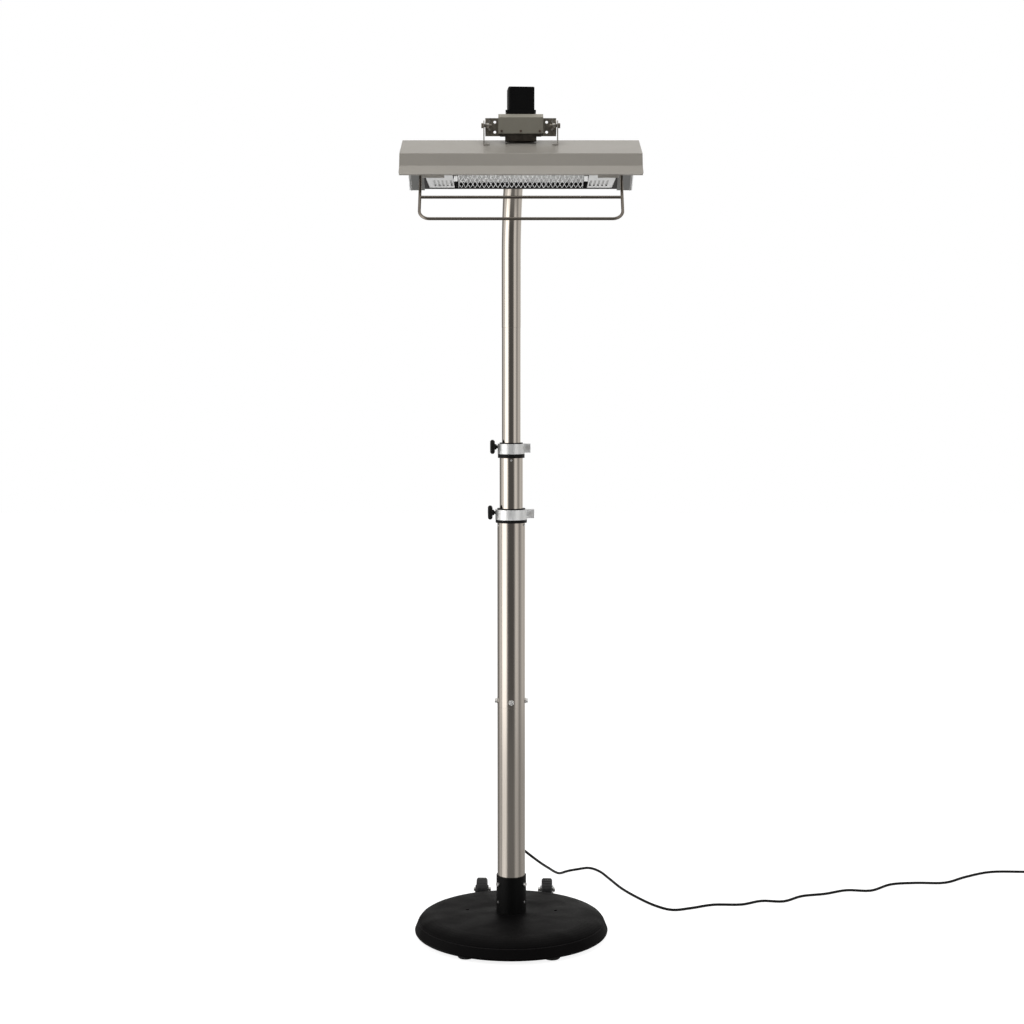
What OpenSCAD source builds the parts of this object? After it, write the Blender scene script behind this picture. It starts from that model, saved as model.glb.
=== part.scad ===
// Infrared patio heater tower: a weighted round base on wheels, a telescoping pole of stainless tubes
// with two clamp collars, a bent arm, and a tilting hooded heater head with a guard rail.
// Millimetres. The origin is on the pole's axis at floor level; -Y is the front, +X the viewer's right.

/* [Base] */
// Outside radius of the base shell
base_r = 266.5; // [240:0.5:300]
// Height of the rubber feet
foot_h = 10; // [8:0.5:14]
// Radius of one rubber foot
foot_r = 22; // [16:0.5:26]
// Thickness of the steel plate under the base
floor_plate_t = 3; // [2:0.5:5]
// Wall of the base shell
shell_t = 4; // [3:0.5:5]
// Height of the shell's straight rim
rim_h = 31; // [26:0.5:38]
// How far the rim leans in towards its top
rim_lean = 9; // [4:0.5:12]
// Radius of the rim's rounded lower edge
rim_round = 8.5; // [4:0.5:10]
// Width of the ledge on top of the rim
ledge_w = 2; // [1:0.25:4]
// Height of the rounded shoulder above the rim
shoulder_h = 21; // [14:0.5:26]
// How far the shoulder draws in
shoulder_in = 52.5; // [40:0.5:64]
// Rise of the dome from its shoulder to its centre
dome_rise = 6; // [4:0.5:12]
// Distance of the two filler holes from the pole's axis
filler_x = 122; // [105:1:140]
// Radius of a filler hole
filler_r = 5; // [3:0.5:8]
// Angle by which the base and its wheels stand turned under the pole
base_turn = -1.8; // [-5:0.1:5]

/* [Wheels] */
// Distance of each wheel from the middle
wheel_x = 95; // [80:1:110]
// Radius of a wheel
wheel_r = 33; // [28:0.5:36]
// Width of a wheel
wheel_w = 31; // [24:0.5:38]
// Distance from the base's rim to a wheel's axle
axle_out = 23.5; // [23:0.5:30]
// Radius of the axle bolts
axle_r = 4; // [3:0.25:5]
// Thickness of the wheel bracket's steel
bracket_t = 2.5; // [2:0.25:4]

/* [Post socket] */
// Outside radius of the black post socket
socket_r = 41; // [40.5:0.25:46]
// Height of the socket's top above the floor
socket_top = 170; // [150:1:200]
// Radius of the flange under the socket
socket_flange_r = 75; // [66:1:90]
// Thickness of that flange
socket_flange_t = 6; // [4:0.5:9]

/* [Pole] */
// Outside diameter of the two lower tubes
outer_d = 76.2; // [72:0.1:78]
// Outside diameter of the middle telescoping tube
mid_d = 63.5; // [60:0.1:66]
// Outside diameter of the upper telescoping tube
upper_d = 50.8; // [48:0.1:54]
// Wall of the pole's tubes
tube_t = 1.2; // [0.8:0.1:1.6]
// Length of the lowest tube
lower_tube_len = 621; // [560:1:680]
// Length of the tube above the seam
outer_tube_len = 506; // [460:1:560]
// Length of the middle tube
mid_tube_len = 522; // [480:1:560]
// How far the middle tube's top stands above the tube round it
mid_reach = 176; // [168:1:215]
// Length of the upper tube
upper_tube_len = 563; // [530:1:600]
// How far the upper tube's top stands above the middle tube
upper_reach = 351; // [345:1:390]
// Radial running clearance of the sliding tubes
slide_gap = 0.3; // [0.2:0.05:0.5]

/* [Collars] */
// Height of a clamp ring
ring_h = 27.5; // [26:0.5:34]
// Wall of a clamp ring
ring_t = 7; // [5:0.25:8]
// Height of the lower bushing's visible flange
lower_flange_h = 8; // [5:0.5:11]
// Height of the upper bushing's visible flange
upper_flange_h = 10.5; // [6:0.5:13]
// Radial wall of a bushing's neck inside the clamp ring
neck_t = 4; // [3:0.25:4.5]
// Length of a bushing's sleeve inside its tube
sleeve_len = 36; // [28:1:48]
// Length of the lower clamp ring's ears
lower_ear_len = 19; // [16:0.5:23]
// Length of the upper clamp ring's ears
upper_ear_len = 15; // [14:0.5:19]
// Radius of a clamp knob
knob_r = 19.3; // [16:0.1:22]
// Thickness of a clamp knob's disc
knob_t = 12; // [9:0.5:14]
// Angle by which the knobs turn towards the front
knob_turn = 3; // [0:1:30]

/* [Arm] */
// Outside diameter of the bent arm
arm_d = 51.6; // [51:0.1:54]
// Length of the arm's straight foot
arm_foot = 185; // [150:1:220]
// Radius of the arm's bend
arm_bend_r = 360; // [340:1:380]
// Angle of the arm's bend
arm_bend = 68; // [66:0.5:70]
// Angle by which the arm turns to the right of straight ahead
arm_turn = 5.9; // [0:0.1:8]

/* [Head bracket] */
// Width of the black head block
block_w = 70; // [66:0.5:80]
// Width of the terminal box
box_w = 66; // [56:0.5:70]
// Height of the terminal box
box_h = 59; // [45:0.5:75]
// Angle by which the terminal box stands turned
box_turn = 4; // [0:0.5:8]
// Width of the steel bracket plate
bar_w = 179; // [170:0.5:190]
// Height of the steel bracket plate
bar_h = 45; // [40:0.5:50]
// Thickness of the bracket plate and the ears
bar_t = 2.5; // [2:0.25:3.5]
// Width of the cover over the bracket
cover_w = 113; // [96:0.5:116]
// Height of the cover over the bracket
cover_h = 50; // [44:0.5:56]
// Depth of that cover
cover_d = 21; // [18:0.5:26]
// Distance between the two free holes at each end of the plate
bar_hole_pitch = 25; // [20:0.5:29]
// Radius of those holes
bar_hole_r = 3.5; // [2.5:0.25:4.5]

/* [Hood] */
// Width of the hood
hood_w = 600; // [580:1:640]
// Sheet thickness of the hood
hood_t = 1.5; // [1:0.1:2]
// Radius of the hood's front corners
hood_corner_r = 9; // [4:0.5:12]

/* [Heater] */
// Overall width of the heater with its end plates
heater_w = 557; // [540:1:570]
// Width of one end cap
cap_w = 36; // [30:0.5:44]
// Width of the trough's mouth
mouth_w = 85; // [78:0.5:88]
// Width of the trough's closed side
trough_back_w = 60; // [48:0.5:64]
// Depth of the trough
trough_depth = 58; // [54:0.5:60]
// Sheet thickness of the trough
trough_t = 1.2; // [0.8:0.1:1.6]
// Angle of the mouth from level
mouth_tilt = 29.6; // [24:0.1:33]
// Length of the grille
grille_w = 312; // [280:1:320]
// Width of one opening of the grille
mesh_pitch = 11; // [9:0.5:13]
// Height of one opening of the grille
mesh_height = 16; // [12:0.5:20]
// Width of the grille's strands
mesh_strand = 1.8; // [1.2:0.1:2.4]
// Diameter of the quartz lamp
lamp_d = 11; // [9:0.25:13]

/* [Guard rail] */
// Diameter of the guard rail's rod
rail_d = 7.5; // [6:0.25:9]
// Distance between the rail's side arms
rail_span = 496; // [488:1:506]
// Length of the rail's side arms
rail_len = 157; // [140:1:175]
// Radius of the rail's corners
rail_corner_r = 25; // [18:0.5:32]
// Angle of the rail's arms from upright
rail_lean = 36.2; // [30:0.1:40]
// Distance of the middle bar from the arms' upper ends
rail_mid = 88; // [76:0.5:100]

/* [Cord] */
// Diameter of the supply cord
cord_d = 7.5; // [6:0.1:8]
// Height of the cord's exit above the floor
cord_z = 225; // [205:1:245]
// Radius of the coil's outer turn, to the middle of the cord
coil_r = 50; // [48:0.5:54]

/* [Hidden] */
$fn = 48;
over = 1;
face_gap = 0.3;
fit_gap = 0.08;
skin_gap = 0.5;

// Colours of the finishes
black = [0.12, 0.12, 0.12];
steel = [0.72, 0.69, 0.65];
bright = [0.85, 0.85, 0.86];
taupe = [0.62, 0.6, 0.56];
graphite = [0.33, 0.33, 0.33];
bronze = [0.42, 0.38, 0.34];
zinc = [0.7, 0.7, 0.7];
concrete = [0.6, 0.6, 0.58];
ceramic = [0.93, 0.93, 0.91];

// Base heights, from the floor up
plate_top = foot_h + floor_plate_t;
flange_top = plate_top + socket_flange_t;
rim_top = foot_h + rim_h;
shoulder_r = base_r - rim_lean - ledge_w - shoulder_in;
skirt_r = base_r - rim_lean - ledge_w - shell_t;
foot_inset = 1;
foot_pcd_r = skirt_r - foot_r - foot_inset;
foot_taper = 2;
foot_turns = [-30, 30, 90, 180, 270];
foot_spots = concat([[0, 0]], [for (t = foot_turns) foot_pcd_r * [sin(t), -cos(t)]]);
shoulder_steps = 7;
round_steps = 4;
dome_steps = 5;
filler_deep = 12;
filler_y = 12;

// Wheel places
axle_y = base_r + axle_out;
wheel_lift = 0.5;
axle_z = foot_h + wheel_r + wheel_lift;
side_gap = 1;
cheek_x = wheel_w / 2 + side_gap;
cheek_r = 12;
rim_curve = 8;
cheek_y = base_r - rim_curve;
tab_len = 66;
tab_hold = 6;

// Screw sizes
m5_r = 2.5;
m6_r = 3;
m8_r = 4;
screw_head_h = 3;

// Tube radii and heights along the pole
outer_r = outer_d / 2;
outer_ir = outer_r - tube_t;
mid_r = mid_d / 2;
mid_ir = mid_r - tube_t;
upper_r = upper_d / 2;
upper_ir = upper_r - tube_t;
arm_r = arm_d / 2;
lower_bottom = flange_top;
seam_z = lower_bottom + lower_tube_len;
outer_top = seam_z + outer_tube_len;
mid_top = outer_top + mid_reach;
mid_bottom = mid_top - mid_tube_len;
upper_top = mid_top + upper_reach;
upper_bottom = upper_top - upper_tube_len;
bolt_row_up = 16;
coupler_down = 50;
coupler_up = 36;
coupler_t = 2;
bush_len = 40;
bush_lip = 3;
bush_lip_in = 3;
spigot_down = 50;
spigot_up = 50;
spigot_t = 2;

// Sizes shared by the two collars
lip_h = 2.4;
lip_out = 2;
slit_w = 2.5;
ear_gap = 3;
ear_t = 7;
ear_h = 24;
ear_bite = 3;
stud_r = 4.2;
knob_up = 5;
stud_bare = 8;
knob_hub_r = 8;
knob_hub_h = 5;
knob_round = 3.5;
knob_scallops = 7;
scallop_r = 6;
scallop_bite = 1.2;
screw_down = 6;
ear_bolt_share = 0.55;

// A collar: its own tube's radius, the sliding tube's radius, height, flange, ears, turns of its screws
lower_collar = [outer_r, mid_r, outer_top, lower_flange_h, lower_ear_len, [65, 180, 295]];
upper_collar = [mid_r, upper_r, mid_top, upper_flange_h, upper_ear_len, [0, 120, 240]];
function own_ir(c) = c[0] - tube_t;
function bore_of(c) = c[1] + slide_gap;
function ring_in(c) = bore_of(c) + neck_t + face_gap;
function ring_or(c) = ring_in(c) + ring_t;
function ring_z(c) = c[2] + c[3] + face_gap;
function knob_z(c) = ring_z(c) + ring_h / 2 + knob_up;
function clamp_bolt_x(c) = ring_or(c) + ear_bolt_share * c[4];

// Arm and head block
bend_z = upper_top + arm_foot;
end_s = arm_bend_r * (1 - cos(arm_bend));
end_z = bend_z + arm_bend_r * sin(arm_bend);
block_lead = 47.2;
block_front = -(end_s + block_lead);
block_d = 75;
block_back = block_front + block_d;
block_rise = 18;
block_top = end_z + block_rise;
block_drop = 31.8;
block_heel = 51;
pocket_past = 0.1;
heel_d = 25;
chamfer_d = 48;
flange_out = 3.5;
block_flange_w = block_w + 2 * flange_out;
block_flange_h = 4;
box_t = 2.5;
box_r = 5;
box_edge = 1.2;
box_d = box_w - 1;
head_shift = 0.8;
head_x = end_s * tan(arm_turn) + head_shift;

// Bracket plate, pivot and cover
pivot_out = 17;
pivot_y = block_front - bar_t - pivot_out;
pivot_drop = 20;
pivot_z = end_z - pivot_drop;
pivot_r = 4;
bar_sink = 1.5;
bar_low = pivot_z - bar_h / 2 - bar_sink;
bar_hole_x = 65.5;
ear_side_gap = 2;
ear_x = bar_w / 2 + ear_side_gap;
pivot_boss_r = 13;
cover_t = 1.5;
cover_down = 20;
cover_low = pivot_z - cover_down;
cover_slope = 12;
cover_slope_h = 9;
saddle_w = 104;
saddle_down = 26;
saddle_low = pivot_z - saddle_down;
saddle_lip = 22;
saddle_block_w = 79;
saddle_block_h = 12;
cover_screw_x = 48;
cover_screw_up = 6;

// Hood outline: distances back from (+) and below (-) the pivot, along the bent sheet
hood_back = [42, -30];
hood_crease = [-96, -80];
hood_fold = [-108, -112];
hood_lip = [-138, -136];
hood_hem = 7;
hood_back_drop = 14;
lip_tab_w = 52;
lip_tab_x = 214;
lip_tab_h = 7;
web_x = 120;
web_t = 2.5;

// Trough place and its parts
mouth_y = -67;
mouth_z = -141;
end_plate_t = 2.5;
trough_w = heater_w - 2 * (cap_w + end_plate_t);
cap_out = 1.5;
mouth_lip = 5;
reflector_r = 37;
reflector_edge = 13;
reflector_top = 52;
reflector_t = 0.8;
reflector_steps = 14;
lamp_z = 26;
lamp_wall = 1;
lamp_into = 8;
lamp_w = grille_w + 2 * lamp_into;
holder_w = 9.5;
holder_gap = 1.2;
holder_d = 22;
holder_low = 2;
slot_n = 5;
slot_pitch = 10.2;
slot_w = 5;
slot_len = 24;
slot_y = 18;
slot_x = 194;
slot_lean = 8;
panel_t = 1.2;
panel_in = 171;
panel_half = 40;
rail_start_y = -80;
rail_start_z = -120;

// Cord route, chosen by hand on the floor and down from the gland
gland_out = 24;
gland_lip = 2.5;
gland_r = 9;
gland_neck_r = 6;
gland_tip_r = 4.7;
gland_tip = outer_r + gland_lip + gland_out;
floor_z = 4;
coil_y = 660;
coil_z = 5.4;
coil_x = 1740;
ROUTE = [
  [0, gland_tip, cord_z], [1, 86, 225], [12, 112, 219], [32, 150, 200], [60, 220, 160],
  [88, 300, 118], [112, 400, 76], [133, 505, 35], [150, 572, 12], [172, 622, floor_z],
  [206, 645, floor_z], [244, 660, floor_z], [276, 618, floor_z], [302, 535, floor_z],
  [334, 430, floor_z], [376, 335, floor_z], [420, 258, floor_z], [466, 217, floor_z],
  [522, 235, floor_z], [590, 268, floor_z], [671, 270, floor_z], [735, 306, floor_z],
  [800, 302, floor_z], [862, 355, floor_z], [934, 378, floor_z], [1006, 416, floor_z],
  [1078, 412, floor_z], [1152, 478, floor_z], [1232, 494, floor_z], [1320, 496, floor_z],
  [1400, 560, floor_z], [1490, 614, floor_z], [1590, 616, floor_z], [1660, 612, floor_z],
  [1700, 610, 5], [coil_x - cord_d, coil_y - coil_r, coil_z]
];
coil_pitch = 8.4;
coil_turns = 3;
coil_rings = 24;
coil_sides = 6;
tie_w = 12;
tie_t = 1;
cord_sides = 8;
cord_steps = 2;
plug_r = 13.2;
tail_end = 130;
TAIL = [
  [cord_d, coil_z + coil_pitch], [26, 12.6], [44, 8.6], [62, 4.8], [82, 4.2], [100, 7],
  [116, 11.4], [tail_end, plug_r]
];
plug_x = coil_x + tail_end;
plug_len = 40;
plug_relief = 26;
plug_flat = 12.8;
blade_w = 6.3;
blade_t = 1.5;
blade_len = 17;
blade_gap = 12.7;
ground_r = 2.4;
ground_len = 20;
ground_drop = 7;

fold_r = 3;
tight_fold_r = 2;
fold_steps = 4;

// Outlines and sweeps
function unit(v) = v / norm(v);
function left_of(v) = [-v[1], v[0]];
function miter(a, b, c, t) =
  let (n = left_of(unit(b - a)), m = unit(n + left_of(unit(c - b)))) m * (t / (m * n));
function far_side(p, i, t) =
  i == 0 ? left_of(unit(p[1] - p[0])) * t
  : i == len(p) - 1 ? left_of(unit(p[i] - p[i - 1])) * t
  : miter(p[i - 1], p[i], p[i + 1], t);
function sheet(p, t) = concat(p, [for (i = [len(p) - 1:-1:0]) p[i] + far_side(p, i, t)]);
function flat(v) = [for (a = v) for (b = a) b];
function spun(v, a) = [v[0] * cos(a) - v[1] * sin(a), v[0] * sin(a) + v[1] * cos(a)];

// An outline whose inner corners become arcs, each with its own radius; 0 keeps a corner sharp
function fold_at(a, b, c, r) =
  let (u = unit(b - a), turn = sign(cross(u, c - b)) * acos(u * unit(c - b)),
    out = -sign(turn) * left_of(u), start = b - r * tan(abs(turn) / 2) * u)
  r == 0 ? [b] : [for (k = [0:fold_steps]) start - r * out + r * spun(out, turn * k / fold_steps)];
function folded(p, radii) = concat([p[0]],
  flat([for (i = [1:len(p) - 2]) fold_at(p[i - 1], p[i], p[i + 1], radii[i - 1])]), [p[len(p) - 1]]);
function blend(a, b, c, d, t) =
  (2 * b + (c - a) * t + (2 * a - 5 * b + 4 * c - d) * t * t + (3 * b - a - 3 * c + d) * t * t * t) / 2;
function smooth(p, n) = concat(
  [for (i = [0:len(p) - 2]) for (j = [0:n - 1])
    blend(p[max(i - 1, 0)], p[i], p[i + 1], p[min(i + 2, len(p) - 1)], j / n)],
  [p[len(p) - 1]]);
function heading(p, i) = unit(p[min(i + 1, len(p) - 1)] - p[max(i - 1, 0)]);
function ring_at(p, i, r, n) =
  let (h = heading(p, i), s = unit(cross(h, [0, 0, 1])), u = cross(s, h))
  [for (k = [0:n - 1]) p[i] + r * (cos(360 * (k + 0.5) / n) * s + sin(360 * (k + 0.5) / n) * u)];
function wall_faces(m, n) = flat([for (i = [0:m - 2]) for (k = [0:n - 1])
  let (a = i * n + k, b = i * n + (k + 1) % n) [[a, b, b + n], [a, b + n, a + n]]]);
function cap_faces(m, n) = concat(
  [for (k = [1:n - 2]) [0, k + 1, k]],
  [for (k = [1:n - 2]) [(m - 1) * n, (m - 1) * n + k, (m - 1) * n + k + 1]]);

module sweep(p, r, n) {
  polyhedron(
    points = flat([for (i = [0:len(p) - 1]) ring_at(p, i, r, n)]),
    faces = concat(wall_faces(len(p), n), cap_faces(len(p), n)));
}

// A tube or ring between two radii, standing on z0
module pipe(ro, ri, z0, h) {
  translate([0, 0, z0]) difference() {
    cylinder(r = ro, h = h);
    translate([0, 0, -over]) cylinder(r = ri, h = h + 2 * over);
  }
}

// A rod along a radius: from r0 outwards for a length, at a turn from the front, at a height
module radial_rod(turn, z, r0, len, r) {
  translate([0, 0, z]) rotate([0, 0, turn]) translate([0, -r0, 0]) rotate([90, 0, 0])
    cylinder(r = r, h = len);
}

// A screw along a radius, its head seated at the given radius
module radial_screw(turn, z, seat, shank_r, shank_len, head_r, head_h) {
  radial_rod(turn, z, seat - shank_len, shank_len, shank_r);
  radial_rod(turn, z, seat, head_h, head_r);
}

// A bolt along +Z whose hexagon head sits below z = 0
module hex_bolt(r, len, head_r, head_h) {
  cylinder(r = r, h = len);
  translate([0, 0, -head_h]) cylinder(r = head_r, h = head_h, $fn = 6);
}

// A YZ outline drawn out along X, centred
module along_x(w) {
  translate([-w / 2, 0, 0]) rotate([90, 0, 90]) linear_extrude(w) children();
}

module rounded_rect(w, d, r) {
  square([w - 2 * r, d], center = true);
  square([w, d - 2 * r], center = true);
  for (sx = [-1, 1]) for (sy = [-1, 1])
    translate([sx * (w / 2 - r), sy * (d / 2 - r)]) circle(r = r);
}

module mirror_x() {
  children();
  mirror([1, 0, 0]) children();
}

// The base and its wheels stand slightly turned under the pole
module in_base() { rotate([0, 0, base_turn]) children(); }

// Base shell profile at an inset from its outer face, from the rim to the centre hole
function shell_curve(d, r_end) = concat(
  [for (k = [0:shoulder_steps]) let (a = 90 * k / shoulder_steps)
    [shoulder_r + (shoulder_in - d) * cos(a), rim_top + (shoulder_h - d) * sin(a)]],
  [for (k = [1:dome_steps]) let (r = shoulder_r + (r_end - shoulder_r) * k / dome_steps)
    [r, rim_top + shoulder_h - d + dome_rise * (1 - pow(r / shoulder_r, 2))]]);
function turned(list) = [for (i = [len(list) - 1:-1:0]) list[i]];

socket_hole_r = socket_r + skin_gap;

module filler_holes(z, h) {
  for (s = [-1, 1]) translate([s * filler_x, filler_y, z]) cylinder(r = filler_r, h = h);
}

module base_shell() {
  color(black) difference() {
    rotate_extrude() polygon(concat([[skirt_r, foot_h]], [for (k = [0:round_steps])
      [base_r, foot_h + rim_round] + rim_round * [sin(90 * k / round_steps) - 1, -cos(90 * k / round_steps)]],
      [[base_r - rim_lean, rim_top]], shell_curve(0, socket_hole_r), turned(shell_curve(shell_t, socket_hole_r))));
    filler_holes(rim_top, shoulder_h + dome_rise + over);
  }
}

module screw_ring(n, r, z, hole_r, h) {
  for (k = [0:n - 1]) rotate([0, 0, 360 * (k + 0.5) / n]) translate([r, 0, z])
    cylinder(r = hole_r, h = h);
}

plate_screw_n = 6;
plate_screw_r = 170;
plate_screw_len = 22;
flange_bolt_n = 4;
flange_bolt_r = (socket_r + socket_flange_r) / 2;
ballast_gap = skin_gap;

module base_ballast() {
  color(concrete) difference() {
    rotate_extrude() polygon(concat(
      [[socket_flange_r + ballast_gap, plate_top], [skirt_r - ballast_gap, plate_top]],
      shell_curve(shell_t + ballast_gap, socket_hole_r),
      [[socket_hole_r, flange_top + ballast_gap],
       [socket_flange_r + ballast_gap, flange_top + ballast_gap]]));
    filler_holes(rim_top - filler_deep, shoulder_h + dome_rise + filler_deep);
    screw_ring(plate_screw_n, plate_screw_r, plate_top - over, m5_r, plate_screw_len + over);
    foot_places() translate([0, 0, plate_top - over]) cylinder(r = m5_r, h = foot_screw_len);
    bracket_bolt_places() translate([0, 0, plate_top - over]) cylinder(r = m5_r, h = bracket_bolt_len);
  }
}

foot_screw_len = 18;
foot_recess = 5;
bracket_bolt_len = 16;

module foot_places() {
  for (spot = foot_spots) translate([spot[0], spot[1], 0]) children();
}

module base_plate() {
  color(black) difference() {
    translate([0, 0, foot_h]) cylinder(r = skirt_r - skin_gap, h = floor_plate_t);
    screw_ring(plate_screw_n, plate_screw_r, foot_h - over, m5_r + fit_gap, floor_plate_t + 2 * over);
    screw_ring(flange_bolt_n, flange_bolt_r, foot_h - over, m8_r + fit_gap, floor_plate_t + 2 * over);
    foot_places() translate([0, 0, foot_h - over])
      cylinder(r = m5_r + fit_gap, h = floor_plate_t + 2 * over);
    bracket_bolt_places() translate([0, 0, foot_h - over])
      cylinder(r = m5_r + fit_gap, h = floor_plate_t + 2 * over);
  }
}

// One foot stands under the middle, the others in a circle
module base_feet() {
  color(black) foot_places() rotate_extrude() polygon([
    [foot_screw_r, 0], [foot_r - foot_taper, 0], [foot_r, foot_taper], [foot_r, foot_h],
    [m5_r + fit_gap, foot_h], [m5_r + fit_gap, foot_recess], [foot_screw_r, foot_recess]]);
}
foot_screw_r = 6;
middle_nut_h = 4;

module base_screws() {
  color(zinc) {
    translate([0, 0, plate_top]) cylinder(r = 2 * m5_r, h = middle_nut_h, $fn = 6);
    foot_places() {
      cylinder_between(m5_r, foot_recess, foot_recess + foot_screw_len);
      cylinder_between(foot_screw_r - skin_gap, foot_recess - screw_head_h, foot_recess);
    }
    for (k = [0:plate_screw_n - 1]) rotate([0, 0, 360 * (k + 0.5) / plate_screw_n])
      translate([plate_screw_r, 0, 0]) {
        cylinder_between(m5_r, foot_h, foot_h + plate_screw_len);
        cylinder_between(2 * m5_r, foot_h - screw_head_h, foot_h);
      }
  }
}

module cylinder_between(r, z0, z1) {
  translate([0, 0, z0]) cylinder(r = r, h = z1 - z0);
}

socket_ir = outer_r + face_gap;
socket_bolt_down = 22;
socket_screw_down = 72;
socket_bolt_z = socket_top - socket_bolt_down;
socket_screw_z = socket_top - socket_screw_down;
socket_turns = [-60, 60, 180];
pole_rest_in = 8;

module post_socket() {
  color(black) difference() {
    union() {
      translate([0, 0, plate_top]) cylinder(r = socket_flange_r, h = socket_flange_t);
      translate([0, 0, plate_top]) cylinder(r = socket_r, h = socket_top - plate_top);
    }
    translate([0, 0, flange_top]) cylinder(r = socket_ir, h = socket_top);
    translate([0, 0, plate_top - over]) cylinder(r = outer_ir - pole_rest_in, h = socket_flange_t + 2 * over);
    in_base() screw_ring(flange_bolt_n, flange_bolt_r, plate_top - over, m8_r + fit_gap,
      socket_flange_t + 2 * over);
    for (t = socket_turns) {
      radial_rod(t, socket_bolt_z, outer_ir, socket_r, m6_r + fit_gap);
      radial_rod(t, socket_screw_z, outer_ir, socket_r, m5_r + fit_gap);
    }
  }
}

module socket_flange_bolts() {
  color(zinc) for (k = [0:flange_bolt_n - 1]) rotate([0, 0, 360 * (k + 0.5) / flange_bolt_n])
    translate([flange_bolt_r, 0, foot_h])
      hex_bolt(m8_r, floor_plate_t + socket_flange_t, 2 * m8_r, screw_head_h);
}

module socket_bolts() {
  color(bright) for (t = socket_turns) {
    radial_screw(t, socket_bolt_z, socket_r, m6_r, socket_r - outer_ir, 2 * m6_r - skin_gap, bolt_head_h);
    radial_screw(t, socket_screw_z, socket_r, m5_r, socket_r - outer_ir, m5_r + skin_gap, small_head_h);
  }
}
bolt_head_h = 5;
small_head_h = 1.5;

// Wheels: a fork of steel behind the rim holds each wheel on its own bolt
tab_y = cheek_y + tab_hold - tab_len;
tab_w = 2 * (cheek_x + bracket_t);
bracket_bolt_shares = [0.12, 0.36];
bracket_head_h = 4;

module bracket_bolt_places() {
  for (s = [-1, 1]) for (share = bracket_bolt_shares)
    translate([s * wheel_x, tab_y + share * tab_len, 0]) children();
}

module cheek_outline() {
  polygon([[cheek_y, foot_h - bracket_t], [axle_y, foot_h - bracket_t],
    [axle_y + cheek_r, axle_z], [axle_y, axle_z + cheek_r], [cheek_y, axle_z]]);
  translate([axle_y, axle_z]) circle(r = cheek_r);
}

module wheel_brackets() {
  color(black) difference() {
    for (s = [-1, 1]) translate([s * wheel_x, 0, 0]) {
      translate([-tab_w / 2, tab_y, foot_h - bracket_t]) cube([tab_w, tab_len, bracket_t]);
      for (side = [-1, 1]) translate([side * (cheek_x + bracket_t / 2), 0, 0])
        along_x(bracket_t) cheek_outline();
    }
    bracket_bolt_places() translate([0, 0, foot_h - bracket_t - over])
      cylinder(r = m5_r + fit_gap, h = bracket_t + 2 * over);
    for (s = [-1, 1]) translate([s * wheel_x - tab_w, axle_y, axle_z]) rotate([0, 90, 0])
      cylinder(r = axle_r + fit_gap, h = 2 * tab_w);
  }
}

module bracket_bolts() {
  color(zinc) bracket_bolt_places() translate([0, 0, foot_h - bracket_t])
    hex_bolt(m5_r, bracket_t + bracket_bolt_len, 2 * m5_r, bracket_head_h);
}

nut_h = 7;
axle_head_h = 5;
axle_head_r = 6.6;
module axle_bolts() {
  color(bright) for (s = [-1, 1]) translate([s * (wheel_x + tab_w / 2), axle_y, axle_z])
    rotate([0, -90 * s, 0]) {
      hex_bolt(axle_r, tab_w + nut_h, axle_head_r, axle_head_h);
      translate([0, 0, tab_w]) cylinder(r = axle_head_r, h = nut_h, $fn = 6);
    }
}

tread_n = 24;
tread_deep = 1.2;
tread_w = 3;
hub_r = 13;
hub_deep = 3;
wheel_edge = 4;
module wheel(side) {
  color(black) translate([side * wheel_x, axle_y, axle_z]) rotate([0, 90, 0]) difference() {
    rotate_extrude() polygon([
      [axle_r + fit_gap, -wheel_w / 2], [hub_r, -wheel_w / 2], [hub_r + hub_deep, hub_deep - wheel_w / 2],
      [wheel_r - 2 * wheel_edge, hub_deep - wheel_w / 2], [wheel_r - wheel_edge, -wheel_w / 2],
      [wheel_r, wheel_edge - wheel_w / 2], [wheel_r, wheel_w / 2 - wheel_edge],
      [wheel_r - wheel_edge, wheel_w / 2], [wheel_r - 2 * wheel_edge, wheel_w / 2 - hub_deep],
      [hub_r + hub_deep, wheel_w / 2 - hub_deep], [hub_r, wheel_w / 2], [axle_r + fit_gap, wheel_w / 2]]);
    for (k = [0:tread_n - 1]) rotate([0, 0, 360 * k / tread_n])
      translate([wheel_r - tread_deep, -tread_w / 2, -wheel_w]) cube([over + tread_deep, tread_w, 2 * wheel_w]);
  }
}
module wheel_left() { wheel(-1); }
module wheel_right() { wheel(1); }

module lower_tube() {
  color(steel) difference() {
    pipe(outer_r, outer_ir, lower_bottom, lower_tube_len);
    for (t = socket_turns) {
      radial_rod(t, socket_bolt_z, outer_ir - over, socket_r, m6_r + fit_gap);
      radial_rod(t, socket_screw_z, outer_ir - over, socket_r, m5_r + fit_gap);
    }
    radial_rod(180, cord_z, outer_ir - over, socket_r, gland_neck_r + fit_gap);
  }
}

// Strain relief that the cord leaves by: a lip that follows the tube, a neck and a tapered boot
module cord_gland() {
  color(black) {
    intersection() {
      radial_rod(180, cord_z, outer_ir - gland_lip, 2 * gland_r, gland_r);
      pipe(outer_r + gland_lip, outer_r, 0, 2 * cord_z);
    }
    intersection() {
      radial_rod(180, cord_z, outer_ir - gland_lip, 2 * gland_r, gland_neck_r);
      pipe(outer_r + gland_lip / 2, outer_ir, 0, 2 * cord_z);
    }
    translate([0, outer_r + gland_lip / 2, cord_z]) rotate([-90, 0, 0]) rotate_extrude() polygon([
      [0, 0], [gland_neck_r + over, 0], [gland_neck_r + over, gland_lip], [gland_tip_r, gland_out + gland_lip / 2],
      [0, gland_out + gland_lip / 2]]);
  }
}

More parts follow.
